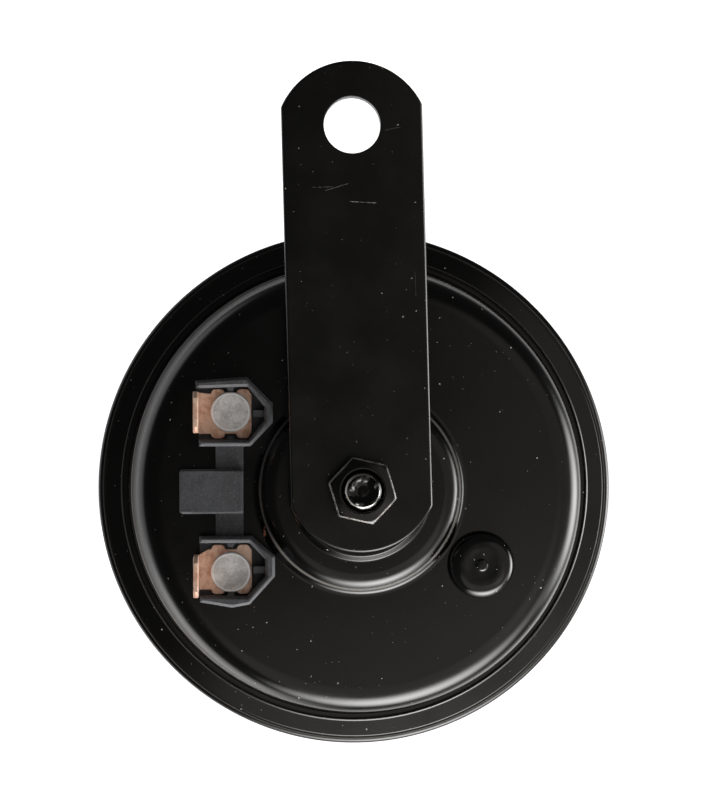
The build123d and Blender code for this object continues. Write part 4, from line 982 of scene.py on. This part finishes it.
class HORN_OT_breaker(bpy.types.Operator):
    """Finish the contact breaker: its plate, stack, arms, contacts and rivets"""

    bl_idname = "horn.breaker"
    bl_label = "Contact breaker"

    def execute(self, context):
        colours = context.scene.horn_colours
        zinc = metal("plated_sheet", colours.zinc, 0.3, darker(colours.zinc, 0.8), 4 * MM)
        bronze = metal("spring_bronze", colours.bronze, 0.28, darker(colours.bronze, 0.7), 3 * MM,
                       (1.0, 1.0, 0.1))
        board = pressed_board("laminate", colours.laminate, 0.4 * MM)
        dress(zinc, "breaker_plate", "breaker_spacer", "lower_breaker_rivet", "upper_breaker_rivet",
              "moving_contact", "fixed_contact")
        dress(board, "rear_insulator", "middle_insulator", "front_insulator", "upper_insulator",
              "lower_insulator", "armature_pusher")
        dress(bronze, "fixed_contact_arm")
        leaf = merged_copy("moving_contact_arm")
        smooth(leaf)
        arm = placed("moving_arm_leaf", leaf)
        leaf.materials.append(bronze)
        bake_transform(arm)
        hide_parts("moving_contact_arm")
        return {"FINISHED"}


class HORN_OT_diaphragm(bpy.types.Operator):
    """Finish the diaphragm and its gaskets"""

    bl_idname = "horn.diaphragm"
    bl_label = "Diaphragm and gaskets"

    def execute(self, context):
        colours = context.scene.horn_colours
        steel = turned_metal("diaphragm_steel", colours.spring, 0.3, STUD)
        sheet = merged_copy("diaphragm")
        smooth(sheet, 60)
        piece = new_piece("diaphragm_sheet", sheet, steel, "housing", "spring_steel", "diaphragm")
        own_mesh(piece)
        dress(pressed_board("gasket_paper", colours.gasket, 0.6 * MM), "rear_gasket", "front_gasket")
        return {"FINISHED"}


class HORN_OT_tone_disc(bpy.types.Operator):
    """Finish the tone disc, the armature and what bolts them together"""

    bl_idname = "horn.tone_disc"
    bl_label = "Tone disc and armature"

    def execute(self, context):
        colours, sizes = choices(context)
        black = lacquer("disc_lacquer", colours.lacquer, colours.dust_and_sheen, 0.32)
        zinc = turned_metal("plated_bolt", colours.zinc, 0.33, STUD)
        dress(black, "tone_disc")
        dress(zinc, "armature", "diaphragm_washer", "disc_spacer", "lock_washer")
        finished("disc_nut", softened("disc_nut", sizes.strap_edge), zinc, "plated_steel", "armature")
        head, bevel = mm(4.5, 0.3)
        head_end = BOLT_LOW.y + 2.2 * MM
        bolt_head = turned("bolt_head", [
            (0, BOLT_LOW.y), (head - bevel, BOLT_LOW.y), (head, BOLT_LOW.y + bevel), (head, head_end),
            (0, head_end),
        ], STUD)
        length = BOLT_HIGH.y - head_end
        rod = thread("bolt", 2.5 * MM, sizes.bolt_pitch, length, facing(STUD, head_end, 1), zinc)
        finished("armature_bolt", joined("bolt", bolt_head, rod), zinc, "plated_steel", "armature")
        return {"FINISHED"}


class HORN_OT_studio(bpy.types.Operator):
    """Set up the floor, the light and the camera"""

    bl_idname = "horn.studio"
    bl_label = "Studio"

    def execute(self, context):
        studio = context.scene.horn_studio
        lay_floor(studio)
        light_studio(context.scene)
        place_camera(context.scene, studio)
        context.scene.view_settings.view_transform = "Standard"
        context.scene.view_settings.look = "None"
        return {"FINISHED"}


# ---- Studio ------------------------------------------------------------------

# Soft boxes as the horn sees them. In degrees: round the view from the right, away from the camera's side,
# half the width round and half the width away. Then how much of the width fades out, how bright the middle is,
# how far off the box stands in metres, and its colour.
SOFT_BOXES = (
    ("below", 284, 79, 41, 29, 1.0, 15.0, 0.9, (1.0, 0.99, 0.97)),
    ("right", 355, 95, 31, 28, 1.0, 12.0, 1.0, (1.0, 0.99, 0.97)),
    ("corner", 326, 74, 26, 22, 1.0, 1.8, 1.1, (1.0, 0.98, 0.95)),
    ("left_behind", 175, 110, 62, 28, 0.7, 1.0, 1.2, (1.0, 0.99, 1.0)),
    ("left_low", 230, 116, 38, 26, 0.8, 2.0, 1.1, (1.0, 0.98, 0.96)),
    ("right_behind", 330, 134, 50, 30, 1.0, 1.0, 1.2, (1.0, 1.0, 1.0)),
    ("behind", 90, 180, 62, 62, 0.7, 0.8, 1.2, (1.0, 1.0, 1.0)),
    ("front_low", 283, 37, 35, 35, 0.35, 0.55, 1.0, (1.0, 0.95, 0.88)),
    ("front_right", 2, 37, 35, 35, 0.35, 0.32, 1.3, (1.0, 0.95, 0.88)),
)


def fade(light, share):
    """Lets a soft box fade out over a share of the way from its edge to its middle."""
    light.use_nodes = True
    tree = light.node_tree
    across = node(tree, "ShaderNodeNewGeometry").outputs["Parametric"]
    away = node(tree, "ShaderNodeVectorMath", {0: across, 1: (0.5, 0.5, 0.0)}, operation="DISTANCE")
    strength = remap(tree, away.outputs["Value"], 0.5, 0.5 - 0.5 * share)
    tree.links.new(strength, tree.nodes["Emission"].inputs["Strength"])


def add_soft_box(name, turn, away, half_round, half_away, share, bright, distance, colour):
    """An elliptical soft box that faces the horn, its power worked out from how bright it looks."""
    turn, away = math.radians(turn), math.radians(away)
    outward = Vector((math.sin(away) * math.cos(turn), -math.cos(away), math.sin(away) * math.sin(turn)))
    across = Vector((-math.sin(turn), 0, math.cos(turn)))
    light = bpy.data.lights.new(name, "AREA")
    light.shape = "ELLIPSE"
    light.size = 2 * distance * math.tan(math.radians(half_round))
    light.size_y = 2 * distance * math.tan(math.radians(half_away))
    light.energy = bright * math.pi * math.pi / 4 * light.size * light.size_y
    light.color = colour
    fade(light, share)
    box = placed(name, light)
    turned_to = Matrix((across, outward.cross(across), outward)).transposed().to_4x4()
    box.matrix_world = Matrix.Translation(Vector((STUD.x, 0, STUD.z)) + distance * outward) @ turned_to
    box.visible_camera = False


def light_studio(scene):
    """Soft boxes round the horn in a dim room."""
    world = bpy.data.worlds.new("studio")
    scene.world = world
    world.use_nodes = True
    background = world.node_tree.nodes["Background"]
    background.inputs["Color"].default_value = (1.0, 0.97, 0.95, 1.0)
    background.inputs["Strength"].default_value = 0.06
    for box in SOFT_BOXES:
        add_soft_box(*box)


def lay_floor(studio):
    """A pale floor that curves up all round."""
    size = studio.floor_size
    level, start, bend = RIM_LOW.z - studio.floor_gap, 0.7 * size, 0.3 * size
    profile = [(0.0, 0.0), (start, 0.0)]
    steps = 12
    for step in range(1, steps + 1):
        angle = math.radians(90 * step / steps)
        profile.append((start + bend * math.sin(angle), bend * (1 - math.cos(angle))))
    profile += [(size, 1.2 * size), (0.0, 1.2 * size)]
    mesh = turned("floor", profile, Vector((0, 0, 0)), 64)
    mesh.transform(Matrix.Translation((0, 0, level)) @ Matrix.Rotation(math.radians(90), 4, "X"))
    mesh.flip_normals()
    floor = placed("floor", mesh)
    material, _, surface, _ = new_finish("pale_floor", (0.85, 0.85, 0.85), 0.9)
    surface.inputs["Emission Color"].default_value = (1.0, 1.0, 1.0, 1.0)
    surface.inputs["Emission Strength"].default_value = 0.95
    mesh.materials.append(material)
    floor.visible_glossy = floor.visible_diffuse = floor.visible_shadow = False


def place_camera(scene, studio):
    """The camera behind the horn, a little left of the stud and above it."""
    data = bpy.data.cameras.new("camera")
    data.lens = studio.lens
    data.sensor_width = 36.0
    data.clip_start = 0.01
    camera = placed("camera", data)
    flat = math.cos(studio.tilt)
    ahead = Vector((math.sin(studio.turn) * flat, math.cos(studio.turn) * flat, math.sin(studio.tilt)))
    level = Vector((math.cos(studio.turn), -math.sin(studio.turn), 0))
    above = level.cross(ahead)
    side = math.cos(studio.roll) * level + math.sin(studio.roll) * above
    top = side.cross(ahead)
    turn = Matrix((side, top, -ahead)).transposed().to_4x4()
    camera.matrix_world = Matrix.Translation(Vector((STUD.x, 0, STUD.z)) + Vector(studio.camera)) @ turn
    scene.camera = camera


# ---- Panel and registration --------------------------------------------------

STEPS = (
    HORN_OT_pressed_steel,
    HORN_OT_stud,
    HORN_OT_carrier,
    HORN_OT_terminals,
    HORN_OT_seal,
    HORN_OT_coil,
    HORN_OT_breaker,
    HORN_OT_diaphragm,
    HORN_OT_tone_disc,
    HORN_OT_studio,
)


class HORN_PT_sidebar(bpy.types.Panel):
    """The horn's steps, in order, with their colours and sizes"""

    bl_idname = "HORN_PT_sidebar"
    bl_label = "Car horn"
    bl_space_type = "VIEW_3D"
    bl_region_type = "UI"
    bl_category = "Horn"

    def draw(self, context):
        for step in STEPS:
            self.layout.operator(step.bl_idname)
        for group in (context.scene.horn_colours, context.scene.horn_sizes, context.scene.horn_studio):
            box = self.layout.box()
            for name in group.__annotations__:
                box.prop(group, name)


GROUPS = (("horn_colours", HornColours), ("horn_sizes", HornSizes), ("horn_studio", HornStudio))


def register():
    for name, group in GROUPS:
        bpy.utils.register_class(group)
        setattr(bpy.types.Scene, name, PointerProperty(type=group))
    for kind in (*STEPS, HORN_PT_sidebar):
        bpy.utils.register_class(kind)


def unregister():
    for kind in reversed((*STEPS, HORN_PT_sidebar)):
        bpy.utils.unregister_class(kind)
    for name, group in reversed(GROUPS):
        delattr(bpy.types.Scene, name)
        bpy.utils.unregister_class(group)


def main():
    register()
    for step in STEPS:
        space, name = step.bl_idname.split(".")
        getattr(getattr(bpy.ops, space), name)()


if __name__ == "__main__":
    main()
